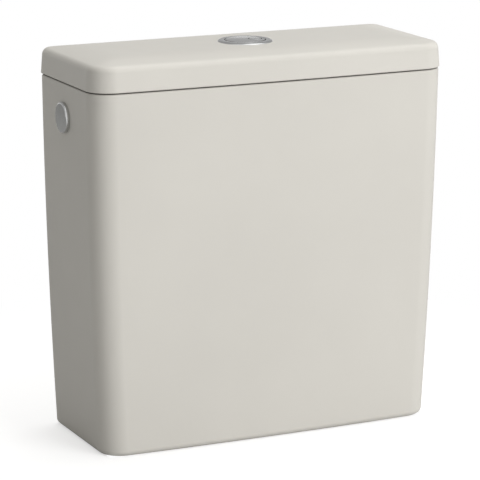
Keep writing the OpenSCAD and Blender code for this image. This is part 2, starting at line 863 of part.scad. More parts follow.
// Outlet backnut with six grips
module flush_valve_backnut() {
    grips = 6;
    grip_share = 0.45;
    grip_r = grip_share * (backnut_r - tail_r);
    color(white_plastic) translate([0, valve_y, 0]) difference() {
        union() {
            post(backnut_r - grip_proud, recess_h - backnut_h, recess_h);
            for (i = [0 : grips - 1])
                rotate(360 * (i + 0.5) / grips) translate([backnut_r - grip_r, 0, 0])
                    post(grip_r, recess_h - backnut_h + grip_set, recess_h - grip_set);
        }
        post(tail_r - tail_relief + thread_gap, recess_h - backnut_h - cut, recess_h + cut);
    }
}

// Ear that carries a lever's pin, standing on the tower's deck
module lever_ear(x0) {
    difference() {
        union() {
            translate([x0, pivot_y, pivot_z]) bar_x(ear_r, 0, ear_t);
            translate([x0, pivot_y - ear_r, deck_top_z - join])
                cube([ear_t, 2 * ear_r, pivot_z - deck_top_z + join]);
        }
        translate([x0 - cut, pivot_y, pivot_z]) bar_x(pin_r + thread_gap, 0, ear_t + 2 * cut);
    }
}

// Tower: windowed tube docked in the base, with a deck that guides the overflow tube
module flush_valve_tower() {
    windows = 4;
    rows = 3;
    window_w = 26;
    row_gap = 14;
    shoulder_t = 4;
    dock_z = base_ring_z + dock_gap;
    body_h = deck_top_z - deck_t - base_top_z - shoulder_t;
    window_h = (body_h - row_gap * (rows + 1)) / rows;
    color(grey_plastic) {
        translate([0, valve_y, 0]) difference() {
            union() {
                tube(tower_r, tower_r - tower_t, dock_z, deck_top_z - deck_t + join);
                tube(base_ring_out, tower_r - tower_t, base_top_z, base_top_z + shoulder_t);
                tube(tower_r, tube_r + slide_gap, deck_top_z - deck_t, deck_top_z);
            }
            for (i = [0 : windows - 1], k = [0 : rows - 1])
                rotate(45 + 360 * i / windows)
                    translate([0, -window_w / 2, base_top_z + shoulder_t + row_gap + k * (window_h + row_gap)])
                        cube([tower_r + cut, window_w, window_h]);
        }
        for (side = [0, 1]) mirror([side, 0, 0]) {
            lever_ear(lever_in - ear_gap - ear_t);
            lever_ear(lever_out + ear_gap);
        }
    }
}

// Overflow tube: open mouth, lifting collar and the flange that carries the seal
module overflow_tube() {
    flange_t = 3;
    tube_z = seat_z - retainer_t;
    color(white_plastic) translate([0, valve_y, 0]) difference() {
        union() {
            post(tube_r, tube_z, tube_top_z);
            post(collar_r, collar_z, collar_z + collar_t);
            post(tube_flange_r, seal_top_z, seal_top_z + flange_t);
        }
        post(tube_r - tube_t, tube_z - cut, tube_top_z + cut);
    }
}

module valve_seal() {
    color(black_rubber) translate([0, valve_y, 0]) tube(seal_r, tube_r + thread_gap, seat_z, seal_top_z);
}

module seal_retainer() {
    color(blue_plastic) translate([0, valve_y, 0])
        tube(retainer_r, tube_r + thread_gap, seat_z - retainer_t, seat_z);
}

// Float clipped round the overflow tube, hollow and open underneath
module valve_float() {
    skin = 2;
    float_in = tube_r + thread_gap;
    color(blue_plastic) translate([0, valve_y, 0]) difference() {
        tube(float_r, float_in, float_z, float_z + float_h);
        tube(float_r - skin, float_in + skin, float_z - cut, float_z + float_h - skin);
    }
}

// Straight web between two points of a lever's side view
module web(a, b, t) {
    along = (b - a) / norm(b - a);
    across = [-along[1], along[0]] * t / 2;
    polygon([a + across, b + across, b - across, a - across]);
}

// Rocker lever on the right of the tower: pad under the push rod, pivot and lifting tip
module rocker(tip_z) {
    tip = [back_arm, tip_z];
    pad = [-front_arm, pad_rise];
    hub_r = ear_r + hub_proud;
    translate([lever_in, pivot_y, pivot_z]) difference() {
        union() {
            bar_x(hub_r, 0, lever_t);
            translate([0, tip[0], tip[1]]) bar_x(pad_r, 0, lever_t);
            translate([0, pad[0], pad[1]]) bar_x(pad_r, half_x - pad_r - lever_in, lever_t);
            rotate([90, 0, 90]) linear_extrude(height = lever_t) web(pad, [0, 0], web_t);
            rotate([90, 0, 90]) linear_extrude(height = lever_t) web([0, 0], tip, web_t);
        }
        bar_x(pin_r + thread_gap, -cut, lever_t + cut);
    }
}

module full_flush_lever() {
    color(blue_plastic) mirror([1, 0, 0]) rocker(tip_rise);
}

// Its tip starts low enough to stay under the collar through its whole swing
module half_flush_lever() {
    tip_top = collar_rise - 2 * touch_gap - pad_r - back_arm * sin(lever_swing);
    color(white_plastic) rocker(tip_top / cos(lever_swing));
}

module lever_pins() {
    color(zinc_steel) for (side = [0, 1]) mirror([side, 0, 0])
        translate([0, pivot_y, pivot_z])
            bar_x(pin_r, lever_in - ear_gap - ear_t, lever_out + ear_gap + ear_t);
}

// Fill valve: threaded inlet tail, flange, riser and the stop that the float cup rests on
module fill_valve_body() {
    thread_top_z = recess_h - inlet_nut_h - nut_run;
    color(white_plastic) translate([fill_x, fill_y, 0]) difference() {
        union() {
            post(inlet_r, tail_end, thread_top_z);
            post(inlet_r - relief, thread_top_z - join, fill_flange_z + join);
            post(fill_flange_r, fill_flange_z, fill_flange_z + fill_flange_t);
            post(riser_r, fill_flange_z, head_z);
            post(stop_r, cup_z - stop_h, cup_z);
            post(spigot_r, head_z - join, head_z + spigot_h);
        }
        post(inlet_bore_r, tail_end - cut, head_z + spigot_h + cut);
    }
}

module fill_valve_washer() {
    set_in = 1;
    color(black_rubber) translate([fill_x, fill_y, 0])
        tube(fill_flange_r - set_in, inlet_r + thread_gap, floor_z, fill_flange_z);
}

module fill_valve_backnut() {
    color(white_plastic) translate([fill_x, fill_y, recess_h - inlet_nut_h])
        hex_nut(inlet_nut_r, inlet_r - relief + thread_gap, inlet_nut_h);
}

// Valve head: socket on the riser's spigot, with a way through to the outlet nozzle at its side
module fill_valve_head() {
    nozzle_t = 1.2;
    nozzle_x = -head_r - nozzle_l;
    nozzle_z = head_z + spigot_h + nozzle_r;
    color(grey_plastic) translate([fill_x, fill_y, 0]) difference() {
        union() {
            post(head_r, head_z, head_top_z);
            translate([0, 0, nozzle_z]) bar_x(nozzle_r, nozzle_x, 0);
        }
        post(spigot_r + thread_gap, head_z - cut, head_z + spigot_h);
        post(inlet_bore_r, head_z, nozzle_z);
        translate([0, 0, nozzle_z]) bar_x(nozzle_r - nozzle_t, nozzle_x - cut, 0);
    }
}

// Twist cap with a knurled edge and the two ears of the float arm's pin
module fill_valve_cap() {
    knurls = 18;
    knurl_r = 1;
    color(blue_plastic) difference() {
        union() {
            translate([fill_x, fill_y, 0]) {
                post(head_r - knurl_r, head_top_z, cap_top_z);
                for (i = [0 : knurls - 1])
                    rotate(360 * i / knurls) translate([head_r - knurl_r, 0, 0])
                        post(knurl_r, head_top_z, cap_top_z);
            }
            for (x = [-arm_w / 2 - ear_gap - ear_t, arm_w / 2 + ear_gap])
                translate([fill_x + x, arm_y, 0]) {
                    translate([0, 0, arm_z]) bar_x(ear_r, 0, ear_t);
                    translate([0, -ear_r, cap_top_z - join]) cube([ear_t, 2 * ear_r, arm_z - cap_top_z + join]);
                }
        }
        translate([fill_x, arm_y, arm_z]) bar_x(pin_r + thread_gap, -head_r, head_r);
    }
}

// Arm from the pivot over the cap to the link
module float_arm() {
    pad = [-arm_l, arm_pad_rise];
    color(white_plastic) translate([fill_x - arm_w / 2, arm_y, arm_z]) difference() {
        union() {
            bar_x(ear_r, 0, arm_w);
            translate([0, pad[0], pad[1]]) bar_x(pad_r, 0, arm_w);
            rotate([90, 0, 90]) linear_extrude(height = arm_w) web(pad, [0, 0], web_t);
        }
        bar_x(pin_r + thread_gap, -cut, arm_w + cut);
    }
}

module float_arm_pin() {
    reach = arm_w / 2 + ear_gap + ear_t;
    color(zinc_steel) translate([fill_x, arm_y, arm_z]) bar_x(pin_r, -reach, reach);
}

// Float cup: closed on top, open underneath, sliding on the riser
module float_cup() {
    sleeve_in = riser_r + slide_gap;
    color(grey_plastic) {
        translate([fill_x, fill_y, 0]) difference() {
            tube(cup_r, sleeve_in, cup_z, cup_top_z);
            tube(cup_r - cup_t, sleeve_in + cup_t, cup_z - cut, cup_top_z - cup_t);
        }
        translate([fill_x, link_y, 0]) tube(lug_r, link_r + thread_gap, cup_top_z - join, cup_top_z + lug_h);
    }
}

// Link from the float cup up to the arm, with a round tip
module float_link() {
    color(white_plastic) translate([fill_x, link_y, 0]) {
        post(link_r, cup_top_z, link_tip_z - link_r);
        translate([0, 0, link_tip_z - link_r]) sphere(r = link_r);
    }
}

// One copy of a fitting at each coupling bolt
module at_bolts() {
    for (side = [-1, 1]) translate([side * bolt_span / 2, valve_y, 0]) children();
}

// Bolts with six-sided heads inside the tank and studs that end above the foot
module coupling_bolts() {
    head_z = floor_z + bolt_seal_h;
    thread_top_z = recess_h - bolt_washer_t - bolt_nut_h - nut_run;
    color(zinc_steel) at_bolts() {
        post(bolt_r, tail_end, thread_top_z);
        post(bolt_r - relief, thread_top_z - join, head_z + join);
        translate([0, 0, head_z]) cylinder(r = bolt_head_r, h = bolt_head_h, $fn = 6);
    }
}

// Conical rubber seals under the bolt heads
module bolt_seals() {
    color(black_rubber) at_bolts() difference() {
        translate([0, 0, floor_z])
            cylinder(r1 = bolt_head_r + bolt_seal_flare, r2 = bolt_head_r, h = bolt_seal_h);
        post(bolt_r - relief + thread_gap, floor_z - cut, floor_z + bolt_seal_h + cut);
    }
}

module bolt_washers() {
    color(zinc_steel) at_bolts()
        tube(bolt_washer_r, bolt_r - relief + thread_gap, recess_h - bolt_washer_t, recess_h);
}

module bolt_nuts() {
    color(zinc_steel) at_bolts() translate([0, 0, recess_h - bolt_washer_t - bolt_nut_h])
        hex_nut(bolt_nut_r, bolt_r - relief + thread_gap, bolt_nut_h);
}

tank();
lid();
side_plug_cap();
side_plug_washer();
side_plug_nut();
button_bezel();
button_housing();
button_nut();
button_gasket();
full_flush_button();
half_flush_button();
full_button_spring();
half_button_spring();
full_push_rod();
half_push_rod();
flush_valve_base();
flush_valve_gasket();
flush_valve_backnut();
flush_valve_tower();
overflow_tube();
valve_seal();
seal_retainer();
valve_float();
full_flush_lever();
half_flush_lever();
lever_pins();
fill_valve_body();
fill_valve_washer();
fill_valve_backnut();
fill_valve_head();
fill_valve_cap();
float_arm();
float_arm_pin();
float_cup();
float_link();
coupling_bolts();
bolt_seals();
bolt_washers();
bolt_nuts();
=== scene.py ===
"""Looks of a close-coupled toilet cistern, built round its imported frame. Metres, +Z up, the front faces -Y."""
import json
import math

import bmesh
import bpy
from mathutils import Matrix, Vector


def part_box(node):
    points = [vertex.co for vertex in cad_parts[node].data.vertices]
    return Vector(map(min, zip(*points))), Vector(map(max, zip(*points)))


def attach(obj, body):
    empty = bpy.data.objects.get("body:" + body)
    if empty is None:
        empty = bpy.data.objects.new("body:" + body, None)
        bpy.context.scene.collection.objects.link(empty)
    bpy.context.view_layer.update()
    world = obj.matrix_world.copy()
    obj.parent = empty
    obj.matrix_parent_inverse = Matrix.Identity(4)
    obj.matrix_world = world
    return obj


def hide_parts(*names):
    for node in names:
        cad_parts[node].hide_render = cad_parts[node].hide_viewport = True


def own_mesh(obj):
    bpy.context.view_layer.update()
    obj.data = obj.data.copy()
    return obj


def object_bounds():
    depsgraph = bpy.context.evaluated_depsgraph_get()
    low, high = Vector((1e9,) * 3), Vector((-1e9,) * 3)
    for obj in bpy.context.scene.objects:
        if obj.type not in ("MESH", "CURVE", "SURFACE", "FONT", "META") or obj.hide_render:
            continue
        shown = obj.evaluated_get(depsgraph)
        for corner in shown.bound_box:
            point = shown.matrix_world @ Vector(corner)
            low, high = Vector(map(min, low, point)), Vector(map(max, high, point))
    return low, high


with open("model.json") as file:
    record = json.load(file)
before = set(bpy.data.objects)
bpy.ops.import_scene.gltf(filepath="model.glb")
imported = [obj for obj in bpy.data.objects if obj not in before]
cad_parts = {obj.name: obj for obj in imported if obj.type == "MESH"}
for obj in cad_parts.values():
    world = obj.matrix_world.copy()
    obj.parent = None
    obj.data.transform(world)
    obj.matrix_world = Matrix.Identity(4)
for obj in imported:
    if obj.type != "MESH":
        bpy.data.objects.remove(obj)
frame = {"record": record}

bl_info = {
    "name": "Toilet Cistern",
    "version": (1, 0, 0),
    "blender": (4, 5, 0),
    "location": "3D View > Sidebar > Cistern",
    "description": "Glazed shell, chrome push buttons and inner fittings of a dual-flush cistern",
    "category": "Object",
}

CAD_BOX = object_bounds()
RECORD = frame["record"]
BODY_OF = {node: body for body, nodes in RECORD["behaviour"]["bodies"].items() for node in nodes}
SLOT_OF = {part["node"]: part["material_slot"] for part in RECORD["subparts"]}
TANK_LOW, TANK_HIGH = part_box("tank")
LID_LOW, LID_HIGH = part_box("lid")


# Sizes and colours that a user would change

def size(name, description, default):
    """A length in metres."""
    return bpy.props.FloatProperty(name=name, description=description, default=default, unit="LENGTH", precision=5)


def place(name, description, default):
    """A point in metres."""
    return bpy.props.FloatVectorProperty(
        name=name, description=description, default=default, subtype="TRANSLATION", unit="LENGTH", precision=5)


def tint(name, description, default):
    """A colour in linear light."""
    return bpy.props.FloatVectorProperty(
        name=name, description=description, default=default, subtype="COLOR", min=0.0, max=1.0)


def share(name, description, default):
    """A number from 0 to 1."""
    return bpy.props.FloatProperty(name=name, description=description, default=default, subtype="FACTOR", max=1.0)


def power(name, description, default):
    """A lamp's power in watts."""
    return bpy.props.FloatProperty(name=name, description=description, default=default, unit="POWER")


def count(name, description, default):
    """A whole number."""
    return bpy.props.IntProperty(name=name, description=description, default=default, min=1)


class ShellSizes(bpy.types.PropertyGroup):
    """Ceramic tank and lid."""
    front_bow: size("Front bow", "How far the middle of the front stands proud of its corners", 0.0023)
    side_lean: size("Side lean", "How far each side leans in from rim to foot", 0.0021)
    side_curve: size("Side curve", "Further inward curve of each side at the foot", 0.0082)
    front_lean: size("Front lean", "How far the front leans in from rim to foot", 0.007)
    front_corner: size("Front corners", "Radius of the front corners in plan", 0.0243)
    back_corner: size("Back corners", "Radius of the back corners in plan", 0.0085)
    inner_corner: size("Inner corners", "Least radius of the inner corners in plan", 0.006)
    foot_round: size("Foot rounding", "Rounding of the foot's outer edge", 0.006)
    rim_round: size("Rim rounding", "Rounding of the rim's two edges", 0.002)
    wall: size("Wall", "Thickness of the walls", 0.010)
    skirt: size("Skirt", "Thickness of the skirt below the floor", 0.012)
    floor: size("Floor", "Thickness of the floor", 0.012)
    recess: size("Recess", "Height of the hollow under the floor", 0.040)
    floor_fillet: size("Floor fillet", "Radius where the inner walls meet the floor", 0.006)
    recess_fillet: size("Recess fillet", "Radius where the skirt meets the floor's underside", 0.004)
    lid_height: size("Lid height", "Height of the lid's edge", 0.0266)
    lid_crown: size("Lid crown", "Rise of the lid's top above its edge", 0.0039)
    crown_band: size("Crown band", "Width of the crowned band inside the lid's edge", 0.038)
    lid_draft: size("Lid draft", "Inward draft of the lid's sides", 0.0014)
    lid_edge: size("Lid edge", "Radius of the lid's top edge at its front and sides", 0.0071)
    lid_back: size("Lid back edge", "Depth of the lid's top edge rounding at its back", 0.0025)
    seam: size("Seam", "Gap between the tank's rim and the lid's edge", 0.0009)
    seat_in: size("Seat", "How far the lid's seat on the rim is set in", 0.0075)
    lid_foot: size("Lid foot", "Rounding of the lid's lower edge", 0.0013)
    lid_thick: size("Lid thickness", "Thickness of the lid's top", 0.010)
    lip_drop: size("Lip drop", "Drop of the locating lip below the rim", 0.006)
    lip_thick: size("Lip thickness", "Thickness of the locating lip", 0.007)
    lip_round: size("Lip rounding", "Rounding of the locating lip", 0.0012)
    lip_clear: size("Lip clearance", "Gap between the lip and the tank's inner wall", 0.0025)
    outlet_hole: size("Outlet hole", "Radius of the outlet hole", 0.032)
    inlet_hole: size("Inlet hole", "Radius of the inlet hole", 0.0115)
    bolt_hole: size("Bolt holes", "Radius of the coupling bolts' holes", 0.006)
    side_hole: size("Side hole", "Radius of the side inlet hole", 0.011)
    button_hole: size("Button hole", "Radius of the hole in the lid", 0.024)


class ButtonSizes(bpy.types.PropertyGroup):
    """Push buttons and what holds them in the lid."""
    bezel_height: size("Bezel height", "Height of the bezel above the lid", 0.0016)
    bezel_rim: size("Bezel rim", "Width of the bezel's sloping rim", 0.0025)
    bore: size("Bore", "Inner radius of the bezel and its sleeve", 0.0207)
    sleeve_wall: size("Sleeve wall", "Wall of the bezel's sleeve", 0.002)
    lip_round: size("Lip rounding", "Rounding of the bezel's inner edge", 0.0003)
    disc_thick: size("Disc thickness", "Thickness of both button discs", 0.003)
    disc_round: size("Disc rounding", "Rounding of the discs' upper edges", 0.0003)
    reveal: size("Reveal", "How far the discs' faces are set in from their guides", 0.0006)
    skirt_wall: size("Skirt wall", "Wall of the large button's skirt", 0.002)
    socket_wall: size("Socket wall", "Wall of the sockets that take the push rods", 0.001)
    socket_depth: size("Socket depth", "Depth of the sockets that take the push rods", 0.006)
    slide_gap: size("Sliding gap", "Gap between parts that slide past each other", 0.0004)
    guide_height: size("Guide height", "Height of the push rods' guides", 0.008)
    guide_wall: size("Guide wall", "Wall of the push rods' guides", 0.0008)
    floor_thick: size("Housing floor", "Thickness of the housing's floor", 0.002)
    spigot_height: size("Spigot height", "Height of the housing's spigot in the sleeve", 0.004)
    spigot_wall: size("Spigot wall", "Wall of the housing's spigot", 0.0015)
    nut_grips: count("Nut grips", "Grips round the button nut", 8)
    wire: size("Spring wire", "Wire radius of the button springs", 0.00045)
    coils: count("Spring coils", "Coils of each button spring", 6)


class FittingSizes(bpy.types.PropertyGroup):
    """Flush valve, fill valve, side plug and coupling bolts."""
    small_round: size("Small rounding", "Rounding of moulded edges", 0.0004)
    thread_pitch: size("Pipe thread pitch", "Pitch of the inlet's and plug's threads", 0.0018)
    thread_depth: size("Pipe thread depth", "Depth of the outlet's, inlet's and plug's threads", 0.0008)
    bolt_pitch: size("Bolt thread pitch", "Pitch of the coupling bolts' threads", 0.00125)
    bolt_depth: size("Bolt thread depth", "Depth of the coupling bolts' threads", 0.0006)
    rod_pitch: size("Rod thread pitch", "Pitch of the push rods' threads", 0.0012)
    rod_depth: size("Rod thread depth", "Depth of the push rods' threads", 0.0003)
    plug_edge: size("Plug edge", "Rounding of the plug's flange", 0.0016)
    plug_height: size("Plug height", "How far the plug's flange stands proud", 0.004)
    plug_stem: size("Plug stem", "Radius of the plug's stem", 0.010)
    grip_proud: size("Grips", "How far grips stand proud of the round nuts", 0.0015)
    grip_share: share("Grip share", "Radius of the outlet nut's grips as a share of its wall", 0.45)
    grips: count("Grip count", "Grips round the outlet nut", 6)
    clear: size("Clearance", "Gap round sliding parts", 0.0004)
    fit: size("Fit", "Gap round parts that are held fast", 0.00005)
    nut_run: size("Nut run", "Bare length between a nut and its thread", 0.001)
    tail: size("Outlet tail", "Outer radius of the outlet tail", 0.0298)
    outlet_pitch: size("Outlet thread pitch", "Pitch of the outlet tail's thread", 0.0023)
    tail_bore: size("Outlet bore", "Inner radius of the outlet tail", 0.026)
    seat_wall: size("Seat wall", "Wall of the valve seat's lip", 0.0025)
    cage_wall: size("Cage wall", "Wall of the base's cage", 0.0045)
    windows: count("Windows", "Windows in a row round the cage and the tower", 4)
    cage_window: size("Cage window", "Width of the windows in the base's cage", 0.033)
    cage_ring: size("Cage ring", "Height of the ring over the cage's windows", 0.008)
    flange: size("Base flange", "Thickness of the base flange and its gasket", 0.004)
    seat_height: size("Seat height", "Height of the seat's lip above the flange", 0.003)
    tower: size("Tower radius", "Outer radius of the tower", 0.031)
    dock: size("Dock gap", "Gap between the tower and the ring that it docks in", 0.0003)
    shoulder: size("Shoulder", "Height of the tower's shoulder on the ring", 0.004)
    tower_window: size("Tower window", "Width of the tower's windows", 0.026)
    window_gap: size("Window gap", "Height of the bars between the tower's windows", 0.014)
    window_rows: count("Window rows", "Rows of windows in the tower", 3)
    window_round: size("Window rounding", "Radius of the windows' corners", 0.003)
    tower_wall: size("Tower wall", "Wall of the tower", 0.003)
    deck: size("Deck", "Thickness of the tower's deck", 0.005)
    deck_drop: size("Deck drop", "Height of the lever pivots above the deck", 0.012)
    tube: size("Overflow tube", "Outer radius of the overflow tube", 0.014)
    tube_wall: size("Tube wall", "Wall of the overflow tube", 0.002)
    tube_flange: size("Tube flange", "Radius of the flange above the seal", 0.024)
    tube_flange_thick: size("Tube flange thickness", "Thickness of the flange above the seal", 0.003)
    collar: size("Collar", "Radius of the lifting collar", 0.019)
    collar_drop: size("Collar drop", "Height of the tube's mouth above the collar's underside", 0.015)
    collar_thick: size("Collar thickness", "Thickness of the lifting collar", 0.004)
    float_skin: size("Float skin", "Wall of the hollow floats", 0.002)
    pin: size("Pins", "Radius of the pivot pins", 0.0015)
    ear: size("Ears", "Radius of the ears round the pins", 0.0032)
    ear_thick: size("Ear thickness", "Thickness of the ears", 0.003)
    ear_gap: size("Ear gap", "Gap between an ear and its lever", 0.0006)
    lever: size("Lever thickness", "Thickness of the levers", 0.0036)
    pad_rise: size("Pad rise", "Height of the levers' pads above their pins", 0.0015)
    arm_pad_rise: size("Arm pad rise", "Height of the float arm's pad above its pin", 0.001)
    pad: size("Pads", "Radius of the levers' round ends", 0.003)
    hub: size("Hubs", "Radius of the levers' hubs", 0.0038)
    web: size("Webs", "Height of the levers' webs", 0.004)
    riser: size("Riser", "Outer radius of the fill valve's riser", 0.009)
    inlet: size("Inlet tail", "Outer radius of the inlet tail", 0.01048)
    inlet_bore: size("Inlet bore", "Inner radius of the inlet tail and riser", 0.0055)
    inlet_flange: size("Inlet flange", "Thickness of the fill valve's flange and washer", 0.004)
    spigot: size("Spigot", "Radius of the riser's spigot in the valve head", 0.0075)
    stop: size("Stop", "Height of the ring that the float cup rests on", 0.006)
    stop_proud: size("Stop step", "How far that ring stands proud of the riser", 0.0025)
    cap: size("Cap", "Height of the fill valve's cap", 0.007)
    knurl: size("Knurls", "Radius of the ridges round the cap", 0.001)
    knurls: count("Knurl count", "Ridges round the cap", 18)
    cup_wall: size("Cup wall", "Wall of the float cup", 0.0025)
    lug: size("Lug", "Radius of the float cup's lug", 0.004)
    nozzle: size("Nozzle", "Outer radius of the fill valve's nozzle", 0.0035)
    nozzle_wall: size("Nozzle wall", "Wall of the fill valve's nozzle", 0.0012)
    bolt: size("Bolts", "Radius of the coupling bolts", 0.004)
    bolt_head: size("Bolt heads", "Height of the coupling bolts' heads", 0.006)


class Finishes(bpy.types.PropertyGroup):
    """Colours and gloss."""
    glaze: tint("Glaze", "Colour of the glazed ceramic", (0.580, 0.562, 0.521))
    biscuit: tint("Biscuit", "Colour of the unglazed foot", (0.60, 0.55, 0.47))
    # Rim and seat are painted shade in the seam between tank and lid: mid grey on the rim's top edge, near black at
    # the lid's seat.
    rim: tint("Rim", "Colour of the unglazed rim that the lid sits on", (0.30, 0.283, 0.255))
    seat: tint("Seat", "Colour of the lid's unglazed seat", (0.12, 0.113, 0.10))
    chrome: tint("Chrome", "Colour of the chrome plate", (0.55, 0.555, 0.55))
    white_plastic: tint("White plastic", "Colour of the white mouldings", (0.80, 0.80, 0.77))
    grey_plastic: tint("Grey plastic", "Colour of the grey mouldings", (0.34, 0.36, 0.38))
    blue_plastic: tint("Blue plastic", "Colour of the blue mouldings", (0.10, 0.22, 0.37))
    rubber: tint("Rubber", "Colour of seals and washers", (0.025, 0.025, 0.027))
    zinc: tint("Zinc", "Colour of the zinc plated steel", (0.58, 0.59, 0.60))
    glaze_rough: share("Glaze roughness", "Roughness of the glaze", 0.44)


class StageSettings(bpy.types.PropertyGroup):
    """Camera, lamps and floor."""
    camera: place("Camera", "Place of the camera", (-1.09216, -2.31776, 0.78662))
    target: place("Target", "Point that the camera looks at", (-0.00660, -0.00218, 0.19047))
    lens: bpy.props.FloatProperty(name="Lens", description="Focal length", default=195.28, unit="CAMERA")
    ambient: tint("Ambient", "Even light from all round", (0.405, 0.40, 0.385))
    room: share("Room", "Level of the room behind the object as metal shows it", 0.48)
    front: share("Room in front", "Level of the room in front of the object as metal shows it", 0.95)
    horizon: share("Horizon", "Height of the white horizon, as the sine of its angle", 0.05)
    floor_reach: size("Floor reach", "Reach of the floor to each side", 4.0)
    floor: share("Floor", "Paleness of the floor", 0.56)
    floor_mirrored: share("Mirrored floor", "Paleness of the near floor as metal shows it", 0.46)
    lift: share("Floor lift", "Own light of the floor round the object", 0.56)
    key_place: place("Key lamp", "Place of the large lamp in front", (2.2, -4.4, 1.5))
    key_power: power("Key power", "Power of the lamp in front", 192.0)
    key_size: size("Key size", "Side of the lamp in front", 3.0)
    top_place: place("Top lamp", "Place of the large lamp above", (0.4, 0.8, 2.4))
    top_power: power("Top power", "Power of the lamp above", 26.0)
    top_size: size("Top size", "Side of the lamp above", 2.0)
    edge_place: place("Edge lamp", "Place of the lamp that picks out the edges", (0.8, -0.8, 2.7))
    edge_power: power("Edge power", "Power of the lamp that picks out the edges", 17.0)
    edge_size: size("Edge size", "Side of the lamp that picks out the edges", 2.4)


# Plain geometry

# Steps of a full turn, then of a rounded edge, then of single arcs
TURN_STEPS, SEEN_STEPS, WIDE_STEPS, SLIM_STEPS = 96, 160, 128, 48
BLOCK_EDGE, MOULDED_EDGE, DISC_EDGE, CHROME_EDGE = 3, 5, 6, 8
EAR_STEPS, BROW_STEPS = 16, 12
# Slope of the cone that chamfers a six-sided head, and the angle from which an edge is softened
HEX_CHAMFER, BEVEL_FROM = 0.5, math.radians(40)


def spot(node):
    """Axis, outer radius, bottom and top of an upright turned node."""
    low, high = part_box(node)
    return ((low.x + high.x) / 2, (low.y + high.y) / 2), (high.x - low.x) / 2, low.z, high.z


def axle(node):
    """Both ends, outer radius and (y, z) axis of a turned node that lies along X."""
    low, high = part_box(node)
    return low.x, high.x, (high.z - low.z) / 2, ((low.y + high.y) / 2, (low.z + high.z) / 2)


def arc(x, y, radius, start, end, steps):
    """Points of an arc, both ends included, angles in degrees."""
    angles = [math.radians(start + (end - start) * i / steps) for i in range(steps + 1)]
    return [(x + radius * math.cos(a), y + radius * math.sin(a)) for a in angles]


def rounded(corners, steps=MOULDED_EDGE):
    """Closed outline whose corners (x, y, radius) are rounded."""
    points = []
    for i, (x, y, radius) in enumerate(corners):
        here = Vector((x, y))
        if radius <= 0:
            points.append(here)
            continue
        before = (Vector(corners[i - 1][:2]) - here).normalized()
        after = (Vector(corners[(i + 1) % len(corners)][:2]) - here).normalized()
        half = before.angle(after) / 2
        centre = here + (before + after).normalized() * (radius / math.sin(half))
        reach = radius / math.tan(half)
        start, end = here + before * reach - centre, here + after * reach - centre
        sweep = math.pi - 2 * half
        for k in range(steps + 1):
            t = k / steps
            lean = math.sin((1 - t) * sweep) * start + math.sin(t * sweep) * end
            points.append(centre + lean / math.sin(sweep))
    return points


def made(bm):
    """Mesh of a bmesh, its faces turned outwards."""
    bmesh.ops.remove_doubles(bm, verts=bm.verts, dist=1e-7)
    bmesh.ops.recalc_face_normals(bm, faces=bm.faces)
    return kept(bm, bpy.data.meshes.new("shape"))


def kept(bm, mesh):
    """Mesh that takes over what a bmesh holds."""
    bm.to_mesh(mesh)
    bm.free()
    return mesh


def lofted(rings):
    """Closed mesh through a stack of outlines that have as many points each."""
    bm = bmesh.new()
    loops = [[bm.verts.new(p) for p in ring] for ring in rings]
    for low, high in zip(loops, loops[1:]):
        for i in range(len(low)):
            j = (i + 1) % len(low)
            bm.faces.new((low[i], low[j], high[j], high[i]))
    bm.faces.new(loops[0])
    bm.faces.new(loops[-1])
    return made(bm)


def swept(section_at, centre, steps):
    """Closed mesh of a section of (radius, height) carried round an upright axis, given for each angle."""
    bm = bmesh.new()
    columns = []
    for k in range(steps):
        a = 2 * math.pi * k / steps
        section = section_at(a)
        columns.append([
            bm.verts.new((centre[0] + r * math.cos(a), centre[1] + r * math.sin(a), z)) for r, z in section])
    for k in range(steps):
        here, there = columns[k], columns[(k + 1) % steps]
        for i in range(len(section)):
            j = (i + 1) % len(section)
            if section[i][0] > 0 or section[j][0] > 0:
                bm.faces.new((here[i], there[i], there[j], here[j]))
    return made(bm)


def turned(section, centre=(0.0, 0.0), steps=TURN_STEPS):
    """Closed mesh of one section of (radius, height) turned about an upright axis."""
    return swept(lambda angle: section, centre, steps)


def tube(centre, outer, inner, low, high, edge):
    """Upright tube with rounded edges, or a rod where the inner radius is 0."""
    inner_edge = edge if inner > 0 else 0
    return turned(rounded([
        (inner, low, inner_edge), (outer, low, edge), (outer, high, edge), (inner, high, inner_edge)]), centre)


def six_sided(centre, radius, bore, low, high):
    """Nut or bolt head whose corners are chamfered by a cone, radius over the corners."""
    flat = radius * math.cos(math.pi / 6)

    def section(angle):
        r = flat / math.cos((angle % (math.pi / 3)) - math.pi / 6)
        drop = (r - flat) * HEX_CHAMFER
        return [(bore, low), (flat, low), (r, low + drop), (r, high - drop), (flat, high), (bore, high)]

    return swept(section, centre, TURN_STEPS)


def along_x(mesh, x, y, z):
    """Turns a mesh that was made about the Z axis so that it lies along +X from a point."""
    mesh.transform(Matrix.Translation((x, y, z)) @ Matrix.Rotation(math.pi / 2, 4, "Y"))
    return mesh


def bar_x(radius, x0, x1, y, z, edge):
    """Round bar along X with rounded ends."""
    return along_x(tube((0, 0), radius, 0, 0, x1 - x0, edge), x0, y, z)


def block(low, high, edge):
    """Box with rounded upright edges and chamfered ends."""
    (x0, y0, z0), (x1, y1, z1) = low, high

    def ring(z, inset):
        corners = [(x0, y0), (x1, y0), (x1, y1), (x0, y1)]
        shift = [(inset, inset), (-inset, inset), (-inset, -inset), (inset, -inset)]
        plan = rounded([(x + u, y + v, edge - inset / 2) for (x, y), (u, v) in zip(corners, shift)], BLOCK_EDGE)
        return [(x, y, z) for x, y in plan]

    half = edge / 2
    return lofted([ring(z0, half), ring(z0 + half, 0), ring(z1 - half, 0), ring(z1, half)])


